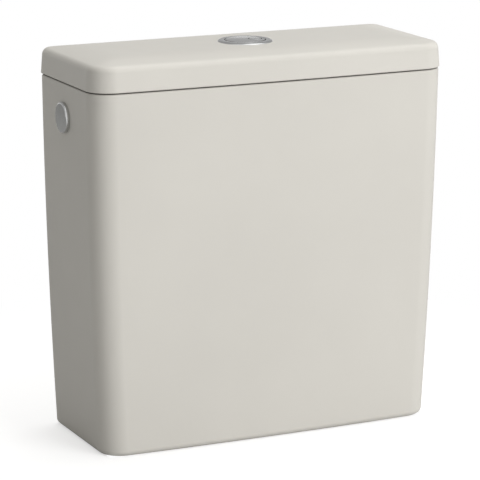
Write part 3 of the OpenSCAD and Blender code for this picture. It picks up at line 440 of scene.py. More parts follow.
def softened(mesh, width):
    """Mesh whose sharp edges are rounded a little."""
    bm = bmesh.new()
    bm.from_mesh(mesh)
    sharp = [e for e in bm.edges if len(e.link_faces) == 2 and e.calc_face_angle() > BEVEL_FROM]
    bmesh.ops.bevel(bm, geom=sharp, offset=width, segments=2, profile=0.5, affect="EDGES", clamp_overlap=True)
    return kept(bm, mesh)


def plate_x(side_view, x0, x1, edge):
    """Plate across X with a side view of (y, z) points and softened edges."""
    return softened(lofted([[(x, y, z) for y, z in side_view] for x in (x0, x1)]), edge)


def web_x(start, end, height, x0, x1, edge):
    """Straight web between two points of a side view."""
    along = (Vector(end) - Vector(start)).normalized()
    across = Vector((-along.y, along.x)) * height / 2
    ends = [(Vector(start), 1), (Vector(end), 1), (Vector(end), -1), (Vector(start), -1)]
    return plate_x([tuple(point + across * side) for point, side in ends], x0, x1, edge)


def ear_x(f, x0, pivot, low):
    """Ear that carries a pin at a point of the side view, standing on a level."""
    y, z = pivot
    crown = arc(y, z, f.ear, 0, 180, EAR_STEPS)
    return plate_x([*crown, (y - f.ear, low), (y + f.ear, low)], x0, x0 + f.ear_thick, f.small_round / 2)


def window(centre, width, low, high, near, far, turn, edge):
    """Tool that cuts a round-cornered window in an upright wall, at an angle about its axis."""
    tool = block((-high, -width / 2, near), (-low, width / 2, far), edge)
    tool.transform(
        Matrix.Translation((*centre, 0)) @ Matrix.Rotation(turn, 4, "Z") @ Matrix.Rotation(math.pi / 2, 4, "Y"))
    return tool


def float_shell(centre, outer, inner, low, high, wall, edge):
    """Float that is closed on top and open underneath, with a sleeve up its middle."""
    return turned(rounded([
        (inner, low, edge / 4), (inner + wall, low, edge / 4), (inner + wall, high - wall, edge),
        (outer - wall, high - wall, edge), (outer - wall, low, edge / 4), (outer, low, edge / 4),
        (outer, high, 2 * edge), (inner, high, edge)]), centre, WIDE_STEPS)


def joined(*meshes):
    """One mesh of several."""
    bm = bmesh.new()
    for mesh in meshes:
        bm.from_mesh(mesh)
        bpy.data.meshes.remove(mesh)
    return kept(bm, bpy.data.meshes.new("joined"))


def held(name, mesh):
    """Object of the scene that holds a mesh."""
    holder = bpy.data.objects.new(name, mesh)
    bpy.context.scene.collection.objects.link(holder)
    return holder


def settled(host, *helpers):
    """Plain mesh of an object after its modifiers. The objects are used up."""
    depsgraph = bpy.context.evaluated_depsgraph_get()
    result = bpy.data.meshes.new_from_object(host.evaluated_get(depsgraph))
    host.modifiers.clear()
    for old in (host, *helpers):
        mesh = old.data
        bpy.data.objects.remove(old)
        bpy.data.meshes.remove(mesh)
    return result


def combined(mesh, tools, operation):
    """Mesh after exact booleans with the tools, which are used up."""
    host, helpers = held("host", mesh), [held("tool", tool) for tool in tools]
    for helper in helpers:
        modifier = host.modifiers.new("combine", "BOOLEAN")
        modifier.operation = operation
        modifier.solver = "EXACT"
        modifier.object = helper
    return cleaned(settled(host, *helpers))


def cleaned(mesh, least=1e-6):
    """Mesh without the slivers that a boolean leaves."""
    bm = bmesh.new()
    bm.from_mesh(mesh)
    bmesh.ops.remove_doubles(bm, verts=bm.verts, dist=least)
    bmesh.ops.dissolve_degenerate(bm, dist=least, edges=bm.edges)
    return kept(bm, mesh)


def carved(mesh, *tools):
    """Mesh with the tools taken away."""
    return combined(mesh, tools, "DIFFERENCE")


def fused(mesh, *tools):
    """Mesh joined with the tools into one skin."""
    return combined(mesh, tools, "UNION")


def rocker(f, knobs, out, side):
    """Lever of round knobs (point, radius, inner end) joined by webs, drilled at its pivot."""
    soft = f.small_round
    bars = [bar_x(radius, *sorted((side * start, side * out)), *point, soft) for point, radius, start in knobs]
    (_, _, near), (pivot, _, _) = knobs[-1], knobs[1]
    a, b = sorted((side * near, side * out))
    webs = [
        web_x(first[0], second[0], f.web, a + soft, b - soft, soft / 2) for first, second in zip(knobs, knobs[1:])]
    return carved(fused(bars[0], *bars[1:], *webs), bar_x(f.pin + f.fit, a - soft, b + soft, *pivot, 0))


# Node trees

def feed(tree, node, inputs):
    """Sets the inputs of a node, or links those that come from another node."""
    for key, value in inputs.items():
        if isinstance(value, bpy.types.NodeSocket):
            tree.links.new(value, node.inputs[key])
        else:
            node.inputs[key].default_value = value


def placer(tree):
    """Function that places a node in a tree, with its settings and inputs."""
    def add(kind, inputs=None, **settings):
        node = tree.nodes.new(kind)
        for key, value in settings.items():
            setattr(node, key, value)
        feed(tree, node, inputs or {})
        return node

    return add


# Geometry trees for what repeats or winds

# Steps of one turn, and sides of a thread's ridge and of a round wire
COIL_STEPS, RIDGE_SIDES, WIRE_SIDES = 48, 4, 10


def new_tree(name, inputs):
    """New geometry tree, a function that places its nodes, and its named inputs."""
    tree = bpy.data.node_groups.new(name, "GeometryNodeTree")
    for label, kind in inputs.items():
        tree.interface.new_socket(label, in_out="INPUT", socket_type="NodeSocket" + kind)
    tree.interface.new_socket("Geometry", in_out="OUTPUT", socket_type="NodeSocketGeometry")
    add = placer(tree)
    return tree, add, add("NodeGroupInput").outputs


def ended(tree, add, geometry, material):
    """Geometry tree that ends in real geometry of one material."""
    real = add("GeometryNodeRealizeInstances", {"Geometry": geometry}).outputs["Geometry"]
    painted = add("GeometryNodeSetMaterial", {"Geometry": real, "Material": material}).outputs["Geometry"]
    add("NodeGroupOutput", {"Geometry": painted})
    return tree


def ring_tree():
    """Copies of a mesh spaced evenly round an upright axis."""
    tree, add, given = new_tree("Ring of copies", {
        "Mesh": "Geometry", "Count": "Int", "Centre": "Vector", "Material": "Material"})
    points = add("GeometryNodeMeshLine", {
        "Offset": (0, 0, 0), "Count": given["Count"], "Start Location": given["Centre"]}).outputs["Mesh"]
    back = add("ShaderNodeVectorMath", {0: given["Centre"], "Scale": -1.0}, operation="SCALE").outputs["Vector"]
    centred = add("GeometryNodeTransform", {"Geometry": given["Mesh"], "Translation": back}).outputs["Geometry"]
    step = add("ShaderNodeMath", {0: 2 * math.pi, 1: given["Count"]}, operation="DIVIDE").outputs["Value"]
    index = add("GeometryNodeInputIndex").outputs["Index"]
    angle = add("ShaderNodeMath", {0: index, 1: step}, operation="MULTIPLY").outputs["Value"]
    turn = add("ShaderNodeCombineXYZ", {"Z": angle}).outputs["Vector"]
    copies = add("GeometryNodeInstanceOnPoints", {"Points": points, "Instance": centred, "Rotation": turn})
    return ended(tree, add, copies.outputs["Instances"], given["Material"])


def coil_tree():
    """Ridge or wire wound about an upright axis."""
    tree, add, given = new_tree("Wound ridge", {
        "Radius": "Float", "Rise": "Float", "Turns": "Float", "Thickness": "Float", "Sides": "Int", "Base": "Vector",
        "Material": "Material"})
    spiral = add("GeometryNodeCurveSpiral", {
        "Resolution": COIL_STEPS, "Rotations": given["Turns"], "Height": given["Rise"],
        "Start Radius": given["Radius"], "End Radius": given["Radius"]}).outputs["Curve"]
    upright = add("GeometryNodeSetCurveNormal", {"Curve": spiral}, mode="Z_UP").outputs["Curve"]
    profile = add("GeometryNodeCurvePrimitiveCircle", {
        "Resolution": given["Sides"], "Radius": given["Thickness"]}).outputs["Curve"]
    sweep = add("GeometryNodeCurveToMesh", {
        "Curve": upright, "Profile Curve": profile, "Fill Caps": True}).outputs["Mesh"]
    lift = add("GeometryNodeTransform", {"Geometry": sweep, "Translation": given["Base"]})
    return ended(tree, add, lift.outputs["Geometry"], given["Material"])


def grown(name, maker, mesh=None, **inputs):
    """Plain mesh from a geometry tree that is made once, grown on a mesh where the tree takes one."""
    tree = bpy.data.node_groups.get(name) or maker()
    host = held("host", mesh or bpy.data.meshes.new("empty"))
    modifier = host.modifiers.new("grow", "NODES")
    modifier.node_group = tree
    for item in tree.interface.items_tree:
        if item.in_out == "INPUT" and item.name in inputs:
            modifier[item.identifier] = inputs[item.name]
    return settled(host)


def ring_of(node, mesh, copies, centre):
    """Copies of a mesh round an upright axis, in a node's finish."""
    return grown(
        "Ring of copies", ring_tree, mesh, Count=copies, Centre=(*centre, 0.0), Material=finish(SLOT_OF[node]))


def ribbed(node, body, centre, outer, radius, low, high, edge, copies, turn=0.0):
    """Body with round upright ribs about it that reach an outer radius."""
    reach = outer - radius
    at = centre[0] + reach * math.cos(turn), centre[1] + reach * math.sin(turn)
    return joined(body, ring_of(node, tube(at, radius, 0, low, high, edge), copies, centre))


def wound(node, centre, radius, low, high, turns, thickness, sides):
    """Ridge or wire about an upright axis, in a node's finish."""
    return grown(
        "Wound ridge", coil_tree, Radius=radius, Rise=high - low, Turns=turns, Thickness=thickness, Sides=sides,
        Base=(*centre, low), Material=finish(SLOT_OF[node]))


def ridge(node, centre, crest, low, high, pitch, depth):
    """Thread ridge whose crest reaches a radius."""
    return wound(node, centre, crest - depth, low, high, (high - low) / pitch, depth, RIDGE_SIDES)


# Finishes

# Heights over which the glaze gives way to bare ceramic at the foot; then, from the tank's rim, heights where the
# painted shade of the seam between tank and lid starts, darkens and ends
BARE_FOOT = 0.0003, 0.0012
SEAM_SHADE_FROM, SEAM_SHADE_DARKER, SEAM_SHADE_TO = (-0.0004, -0.0002), (0.00005, 0.0002), (0.0009, 0.0010)


def shader(name):
    """New material, a function that places nodes in its tree, and its object coordinates."""
    material = bpy.data.materials.new(name)
    material.use_nodes = True
    add = placer(material.node_tree)
    return material, add, add("ShaderNodeTexCoord").outputs["Object"]


def surfaced(material, inputs):
    """Material whose surface has its inputs."""
    tree = material.node_tree
    feed(tree, tree.nodes["Principled BSDF"], inputs)
    return material


def noise(add, coords, scale, detail=2.0):
    """Factor of a noise at so many waves per metre."""
    return add("ShaderNodeTexNoise", {"Vector": coords, "Scale": scale, "Detail": detail}).outputs["Fac"]


def between(add, value, low, high, start=0.3, end=0.7):
    """Value spread from a range of a factor to a range of results."""
    spread = add("ShaderNodeMapRange", {
        "Value": value, "From Min": start, "From Max": end, "To Min": low, "To Max": high},
        interpolation_type="SMOOTHSTEP")
    return spread.outputs["Result"]


def mixed(add, factor, first, second):
    """Colour between two colours."""
    def full(colour):
        return colour if isinstance(colour, bpy.types.NodeSocket) else (*colour, 1.0)

    mix = add("ShaderNodeMix", {0: factor, 6: full(first), 7: full(second)}, data_type="RGBA")
    return mix.outputs[2]


def shade(colour, level):
    """Colour made lighter or darker."""
    return tuple(min(1.0, c * level) for c in colour)


def relief(add, height, strength, distance):
    """Normal of a relief from a height factor."""
    bump = add("ShaderNodeBump", {"Height": height, "Strength": strength, "Distance": distance})
    return bump.outputs["Normal"]


def glaze_finish(name, looks):
    """Satin glaze over ceramic: faint clouding, soft ripple, a bare foot where it stood in the kiln, and painted shade
    in the seam between the tank's rim and the lid.
    """
    material, add, coords = shader(name)
    height = add("ShaderNodeSeparateXYZ", {"Vector": coords}).outputs["Z"]

    def above_rim(change, low=0.0, high=1.0):
        return between(add, height, low, high, *[TANK_HIGH.z + z for z in change])

    cloud = between(add, noise(add, coords, 7.0, 3.0), 0.0, 1.0)
    glaze = mixed(add, cloud, shade(looks.glaze, 0.985), shade(looks.glaze, 1.015))
    speck = between(add, noise(add, coords, 900.0, 1.0), 0.0, 0.10, 0.68, 0.78)
    glaze = mixed(add, speck, glaze, shade(looks.glaze, 0.55))
    grit = between(add, noise(add, coords, 1400.0, 4.0), 0.0, 1.0)
    bare = mixed(add, grit, shade(looks.biscuit, 0.92), shade(looks.biscuit, 1.06))
    glazed = between(add, height, 0.0, 1.0, *BARE_FOOT)
    colour = mixed(add, glazed, bare, glaze)
    # Painted shade in the seam between tank and lid, masked by height: mid grey on the rim's top edge, near black on
    # the lid's seat.
    unglazed = mixed(add, above_rim(SEAM_SHADE_DARKER), looks.rim, looks.seat)
    seam = {0: above_rim(SEAM_SHADE_FROM), 1: above_rim(SEAM_SHADE_TO, 1.0, 0.0)}
    painted_seam_shade = add("ShaderNodeMath", seam, operation="MULTIPLY").outputs[0]
    gloss = between(add, noise(add, coords, 24.0), looks.glaze_rough - 0.03, looks.glaze_rough + 0.03)
    return surfaced(material, {
        "Base Color": mixed(add, painted_seam_shade, colour, unglazed),
        "Roughness": add("ShaderNodeMix", {0: glazed, 2: 0.9, 3: gloss}).outputs[0],
        "Normal": relief(add, noise(add, coords, 130.0, 2.0), 0.05, 0.0004), "IOR": 1.5})


def chrome_finish(name, looks):
    """Polished chrome plate with a faint haze and hairlines."""
    material, add, coords = shader(name)
    haze = between(add, noise(add, coords, 60.0, 3.0), 0.0, 1.0)
    hair = add("ShaderNodeMapping", {"Vector": coords, "Scale": (400.0, 4000.0, 4000.0)}).outputs["Vector"]
    return surfaced(material, {
        "Base Color": mixed(add, haze, shade(looks.chrome, 0.96), shade(looks.chrome, 1.04)),
        "Roughness": between(add, noise(add, hair, 1.0, 4.0), 0.11, 0.19),
        "Normal": relief(add, noise(add, coords, 300.0, 2.0), 0.02, 0.0001), "Metallic": 1.0})


def plastic_finish(name, looks, slot, rough):
    """Moulded plastic: faint flow marks and a fine matt grain."""
    material, add, coords = shader(name)
    colour = getattr(looks, slot)
    flow = add("ShaderNodeMapping", {"Vector": coords, "Scale": (40.0, 40.0, 9.0)}).outputs["Vector"]
    clouds = between(add, noise(add, flow, 1.0, 3.0), 0.0, 1.0)
    return surfaced(material, {
        "Base Color": mixed(add, clouds, shade(colour, 0.94), shade(colour, 1.05)),
        "Roughness": between(add, noise(add, coords, 220.0, 2.0), rough - 0.06, rough + 0.06),
        "Normal": relief(add, noise(add, coords, 2200.0, 2.0), 0.12, 0.00008)})


def rubber_finish(name, looks):
    """Matt black rubber with a dusty bloom."""
    material, add, coords = shader(name)
    bloom = between(add, noise(add, coords, 90.0, 4.0), 0.0, 1.0, 0.45, 0.75)
    return surfaced(material, {
        "Base Color": mixed(add, bloom, looks.rubber, shade(looks.rubber, 2.2)),
        "Roughness": between(add, bloom, 0.62, 0.82, 0.0, 1.0),
        "Normal": relief(add, noise(add, coords, 1600.0, 3.0), 0.2, 0.0001)})


def zinc_finish(name, looks):
    """Zinc plated steel with a fine spangle."""
    material, add, coords = shader(name)
    spangle = add("ShaderNodeTexVoronoi", {"Vector": coords, "Scale": 700.0}).outputs["Color"]
    level = add("ShaderNodeSeparateXYZ", {"Vector": spangle}).outputs["X"]
    return surfaced(material, {
        "Base Color": mixed(add, level, shade(looks.zinc, 0.84), shade(looks.zinc, 1.1)),
        "Roughness": between(add, level, 0.26, 0.42, 0.0, 1.0),
        "Normal": relief(add, noise(add, coords, 1200.0, 3.0), 0.08, 0.00005), "Metallic": 1.0})


FINISHES = {
    "glaze": ("greige_glaze", glaze_finish),
    "chrome": ("chrome_plate", chrome_finish),
    "white_plastic": ("white_moulding", plastic_finish, "white_plastic", 0.42),
    "grey_plastic": ("grey_moulding", plastic_finish, "grey_plastic", 0.46),
    "blue_plastic": ("blue_moulding", plastic_finish, "blue_plastic", 0.36),
    "black_rubber": ("black_rubber", rubber_finish),
    "zinc_steel": ("zinc_plate", zinc_finish),
}
# Angles in degrees from which an edge stays sharp in the shading
SHARP, SHELL_SHARP, WIRE_SHARP = 32.0, 40.0, 60.0


def finish(slot):
    """Material of a slot of the record, made once."""
    name, maker, *more = FINISHES[slot]
    return bpy.data.materials.get(name) or maker(name, bpy.context.scene.cistern_finishes, *more)


def weighted(mesh):
    """Mesh whose normals lean towards those of its larger faces."""
    host = held("host", mesh)
    modifier = host.modifiers.new("weighted", "WEIGHTED_NORMAL")
    modifier.keep_sharp = True
    modifier.weight = 80
    return settled(host)


def dress(node, mesh, sharp=SHARP, weigh=False):
    """Piece that stands for a node: smooth, in the node's finish, riding on the node's body."""
    slot = SLOT_OF[node]
    mesh.materials.clear()
    mesh.materials.append(finish(slot))
    mesh.polygons.foreach_set("material_index", [0] * len(mesh.polygons))
    mesh.shade_smooth()
    mesh.set_sharp_from_angle(angle=math.radians(sharp))
    if weigh:
        mesh = weighted(mesh)
    mesh.name = node + "_skin"
    piece = held(node + "_piece", mesh)
    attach(piece, BODY_OF[node])
    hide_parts(node)
    return piece


# Ceramic shell

BOW_STEPS, CORNER_STEPS, BACK_STEPS = 40, 28, 10
EDGE_STEPS, SIDE_STEPS, LID_STEPS, CROWN_STEPS = 14, 24, 4, 20


class Shell:
    """Outlines of the tank and the lid."""

    def __init__(self, sizes):
        self.sizes = sizes
        self.half_w = TANK_HIGH.x
        self.top = TANK_HIGH.z
        self.back = TANK_HIGH.y
        self.front = TANK_LOW.y + sizes.front_bow
        self.lid_half_w = LID_HIGH.x
        self.lid_front = LID_LOW.y + sizes.front_bow
        self.overhang = LID_HIGH.x - TANK_HIGH.x

    def outline(self, half_w, front, back, r_front, r_back, z):
        """Closed plan outline: flat back, straight sides and a bowed front, joined by tangent arcs."""
        bow = self.sizes.front_bow
        chord = half_w - r_front
        bow_r = (chord ** 2 + bow ** 2) / (2 * bow)
        bow_y = front - bow + bow_r
        corner_y = bow_y - math.sqrt((bow_r - r_front) ** 2 - chord ** 2)
        bow_half = math.degrees(math.atan2(chord, bow_y - corner_y))
        plan = arc(half_w - r_back, back - r_back, r_back, 90, 0, BACK_STEPS)
        plan += arc(chord, corner_y, r_front, 0, bow_half - 90, CORNER_STEPS)
        plan += arc(0, bow_y, bow_r, bow_half - 90, -90 - bow_half, BOW_STEPS)[1:-1]
        plan += arc(-chord, corner_y, r_front, -90 - bow_half, -180, CORNER_STEPS)
        plan += arc(r_back - half_w, back - r_back, r_back, 180, 90, BACK_STEPS)
        return [(x, y, z) for x, y in plan]

    def tank_ring(self, z, inset):
        """Outline of the tank at a height, set in by a distance."""
        s = self.sizes
        below = 1 - z / self.top
        half_w = self.half_w - s.side_lean * below - s.side_curve * below ** 2
        front = self.front + s.front_lean * below
        return self.outline(
            half_w - inset, front + inset, self.back - inset,
            max(s.front_corner - inset, s.inner_corner), max(s.back_corner - inset, s.inner_corner), z)

    def lid_ring(self, z, inset, back_inset=None):
        """Outline of the lid at a height, set in by a distance, with its own distance at the back."""
        s = self.sizes
        behind = inset if back_inset is None else back_inset
        return self.outline(
            self.lid_half_w - inset, self.lid_front + inset, self.back - behind,
            max(s.front_corner + self.overhang - inset, s.inner_corner),
            max(s.back_corner - behind, s.inner_corner), z)


def quarter(end=90.0):
    """Angles of a quarter round in radians, first end left out."""
    return [math.radians(end * i / EDGE_STEPS) for i in range(1, EDGE_STEPS + 1)]


def steps_between(start, end, steps):
    """Evenly spaced values, the first left out."""
    return [start + (end - start) * i / steps for i in range(1, steps + 1)]


class CISTERN_OT_tank(bpy.types.Operator):
    """Ceramic tank: skirt, foot, leaning walls, rounded rim and basin, drilled for its fittings"""
    bl_idname = "cistern.tank"
    bl_label = "Tank"

    def execute(self, context):
        s = context.scene.cistern_shell
        shell = Shell(s)
        top, floor = shell.top, s.recess + s.floor
        basin = floor + s.floor_fillet
        outside = steps_between(s.foot_round, top - s.rim_round, SIDE_STEPS)[:-1]
        inside = steps_between(top - s.rim_round, basin, SIDE_STEPS)[:-1]
        section = rounded([
            (s.skirt + 2 * s.recess_fillet, s.recess, 0), (s.skirt, s.recess, s.recess_fillet), (s.skirt, 0, 0),
            (0, 0, s.foot_round), *[(0, z, 0) for z in outside], (0, top, s.rim_round),
            (s.wall, top, s.rim_round), *[(s.wall, z, 0) for z in inside], (s.wall, floor, s.floor_fillet),
            (s.wall + 2 * s.floor_fillet, floor, 0)], EDGE_STEPS)[1:-1]
        low = s.recess / 2
        drills = [
            tube(spot("flush_valve_gasket")[0], s.outlet_hole, 0, low, basin, 0),
            tube(spot("fill_valve_washer")[0], s.inlet_hole, 0, low, basin, 0),
            *[tube(at, s.bolt_hole, 0, low, basin, 0) for at in bolt_places()],
        ]
        start, end, _, axis = axle("side_plug_cap")
        drills.append(bar_x(s.side_hole, start, end, *axis, 0))
        rings = [shell.tank_ring(z, inset) for inset, z in section]
        dress("tank", carved(lofted(rings), *drills), SHELL_SHARP, True)
        return {"FINISHED"}


class CISTERN_OT_lid(bpy.types.Operator):
    """Ceramic lid: hollow underneath, with a lip that drops inside the tank and a crowned top"""
    bl_idname = "cistern.lid"
    bl_label = "Lid"

    def execute(self, context):
        s = context.scene.cistern_shell
        shell = Shell(s)
        ring, rest = shell.lid_ring, shell.top
        ceiling, edge = rest + s.lid_height - s.lid_thick, rest + s.lid_height - s.lid_edge
        lip, foot = rest - s.lip_drop, rest + s.seam
        lip_out = shell.overhang + s.wall + s.lip_clear
        lip_in = lip_out + s.lip_thick
        section = rounded([
            (lip_in + 2 * s.lip_drop, ceiling, 0), (lip_in, ceiling, s.lip_drop), (lip_in, lip, s.lip_round),
            (lip_out, lip, s.lip_round), (lip_out, rest, 0), (s.seat_in, rest, 0), (s.seat_in - s.seam, foot, 0),
            (0, foot, s.lid_foot), (0, edge, 0)], EDGE_STEPS)[1:-1]
        rings = [ring(z, inset) for inset, z in section]
        for t in steps_between(0, 1, LID_STEPS):
            z = foot + s.lid_foot + (edge - foot - s.lid_foot) * t
            rings.append(ring(z, s.lid_draft * t, 0))
        edge_end = 90 - math.degrees(math.atan(2 * s.lid_crown / s.crown_band))
        for a in quarter(edge_end):
            edge_top = edge + s.lid_edge * math.sin(a)
            edge_in = s.lid_draft + s.lid_edge * (1 - math.cos(a))
            edge_back = s.lid_back * (1 - math.cos(a))
            rings.append(ring(edge_top, edge_in, edge_back))
        for q in steps_between(0, 1, CROWN_STEPS):
            rings.append(ring(
                edge_top + s.lid_crown * (1 - (1 - q) ** 2), edge_in + s.crown_band * q, edge_back + s.crown_band * q))
        drill = tube((0, 0), s.button_hole, 0, ceiling - s.lid_thick, LID_HIGH.z + s.lid_thick, 0)
        dress("lid", carved(lofted(rings), drill), SHELL_SHARP, True)
        return {"FINISHED"}


# Push buttons

class CISTERN_OT_push_buttons(bpy.types.Operator):
    """Chrome bezel with its threaded sleeve, the large full-flush button and the small half-flush button"""
    bl_idname = "cistern.push_buttons"
    bl_label = "Push buttons"

    def execute(self, context):
        b = context.scene.cistern_buttons
        f = context.scene.cistern_fittings
        soft = f.small_round
        centre, outer, low, top = spot("button_bezel")
        lid_top = top - b.bezel_height
        sleeve = b.bore + b.sleeve_wall
        root = sleeve - f.rod_depth
        swell = (b.bezel_rim ** 2 + b.bezel_height ** 2) / (2 * b.bezel_height)
        start = math.degrees(math.asin(1 - b.bezel_height / swell))
        brow = [(x, z, 0) for x, z in arc(outer - b.bezel_rim, top - swell, swell, start, 90, BROW_STEPS)]
        bezel = turned(rounded([
            (b.bore, low, b.lip_round), (root, low, b.lip_round), (root, lid_top, 0), *brow,
            (b.bore, top, b.lip_round)], CHROME_EDGE), centre, SEEN_STEPS)
        thread = ridge(
            "button_bezel", centre, sleeve, low + f.rod_pitch, lid_top - f.rod_pitch, f.rod_pitch, f.rod_depth)
        dress("button_bezel", joined(bezel, thread))

        centre, outer, low, top = spot("full_flush_button")
        under = top - b.disc_thick
        inner, face = outer - b.skirt_wall, outer - b.reveal
        large = turned(rounded([
            (0, under, 0), (inner, under, soft), (inner, low, soft / 2), (outer, low, soft / 2), (outer, under, 0),
            (face, under, 0), (face, top, b.disc_round), (0, top, 0)], DISC_EDGE), centre, SEEN_STEPS)
        small_centre, small, _, small_top = spot("half_flush_button")
        hole = small + b.slide_gap
        flare = b.disc_round
        cutter = turned([
            (0, under - flare), (hole, under - flare), (hole, top - flare),
            *[(hole + flare * (1 - math.cos(a)), top - flare * (1 - math.sin(a))) for a in quarter()],
            (hole + flare, top + flare), (0, top + flare)], small_centre)
        rod_centre, rod, _, _ = spot("full_push_rod")
        socket = tube(rod_centre, rod + 2 * b.socket_wall, rod, under - b.socket_depth, under + flare, soft / 2)
        dress("full_flush_button", joined(carved(large, cutter), socket))

        disc = turned(rounded([
            (0, under, 0), (small, under, soft / 2), (small - b.reveal, small_top, b.disc_round),
            (0, small_top, 0)], DISC_EDGE), small_centre)
        rod_centre, rod, _, _ = spot("half_push_rod")
        socket = tube(rod_centre, rod + b.socket_wall, rod, under - b.socket_depth, under + flare, soft / 2)
        dress("half_flush_button", joined(disc, socket))
        return {"FINISHED"}


class CISTERN_OT_button_works(bpy.types.Operator):
    """Housing, nut and gasket under the lid, with both springs and push rods"""
    bl_idname = "cistern.button_works"
    bl_label = "Button works"

    def execute(self, context):
        b = context.scene.cistern_buttons
        f = context.scene.cistern_fittings
        soft = f.small_round
        centre, outer, low, _ = spot("button_housing")
        floor = low + b.floor_thick
        rods = [spot("full_push_rod"), spot("half_push_rod")]
        plate = tube(centre, outer, 0, low, floor, soft)
        guides, holes = [], []
        for at, rod, _, _ in rods:
            hole = rod + b.slide_gap
            guides.append(tube(at, hole + b.guide_wall, hole, floor - soft, floor + b.guide_height, soft / 2))
            holes.append(tube(at, hole + b.guide_wall / 4, 0, low - soft, floor + soft, 0))
        spigot = tube(centre, b.bore, b.bore - b.spigot_wall, floor - soft, floor + b.spigot_height, soft / 2)
        dress("button_housing", joined(carved(plate, *holes), *guides, spigot))

        centre, outer, low, high = spot("button_nut")
        sleeve = b.bore + b.sleeve_wall
        body = tube(centre, outer - f.grip_proud, sleeve, low, high, 2 * soft)
        dress("button_nut", ribbed(
            "button_nut", body, centre, outer, 2 * f.grip_proud, low + 2 * soft, high - 2 * soft, soft, b.nut_grips))

        centre, outer, low, high = spot("button_gasket")
        dress("button_gasket", tube(centre, outer, sleeve + b.slide_gap, low, high, soft))

        for node in ("full_push_rod", "half_push_rod"):
            centre, outer, low, high = spot(node)
            root = outer - f.rod_depth
            shoulder = high - b.socket_depth - b.guide_height
            shaft = turned([
                (0, low), *[(root * math.sin(a), low + root * (1 - math.cos(a))) for a in quarter()],
                (root, shoulder), (outer, shoulder + f.rod_depth), (outer, high), (0, high)], centre, SLIM_STEPS)
            thread = ridge(node, centre, outer, low + 2 * outer, shoulder, f.rod_pitch, f.rod_depth)
            dress(node, joined(shaft, thread))

        for node, joint in (("full_button_spring", "full_press"), ("half_button_spring", "half_press")):
            centre, outer, low, high = spot(node)
            coil = wound(
                node, centre, outer - b.wire, low + b.wire, high - b.wire, float(b.coils), b.wire, WIRE_SIDES)
            piece = dress(node, coil, WIRE_SHARP)
            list(centre)
            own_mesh(piece)
        return {"FINISHED"}


# Side plug

class CISTERN_OT_side_plug(bpy.types.Operator):
    """Chrome plug in the unused side inlet, with its washer and nut inside"""
    bl_idname = "cistern.side_plug"
    bl_label = "Side plug"

    def execute(self, context):
        f = context.scene.cistern_fittings
        soft = f.small_round
        start, end, flange, axis = axle("side_plug_cap")
        length, stem, root = end - start, f.plug_stem, f.plug_stem - f.thread_depth
        cap = turned(rounded([
            (0, 0, 0), (flange, 0, f.plug_edge), (flange, f.plug_height, soft / 4), (root, f.plug_height, 0),
            (root, length, soft), (0, length, 0)], CHROME_EDGE), (0, 0), WIDE_STEPS)
        thread = ridge(
            "side_plug_cap", (0, 0), stem, f.plug_height + f.thread_pitch, length - f.thread_pitch / 2,
            f.thread_pitch, f.thread_depth)
        dress("side_plug_cap", along_x(joined(cap, thread), start, *axis))
        start, end, outer, _ = axle("side_plug_washer")
        dress("side_plug_washer", along_x(tube((0, 0), outer, stem, 0, end - start, soft), start, *axis))
        low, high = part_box("side_plug_nut")
        corner = max(high.z - low.z, high.y - low.y) / 2
        dress("side_plug_nut", along_x(six_sided((0, 0), corner, stem, 0, high.x - low.x), low.x, *axis))
        return {"FINISHED"}


# Flush valve

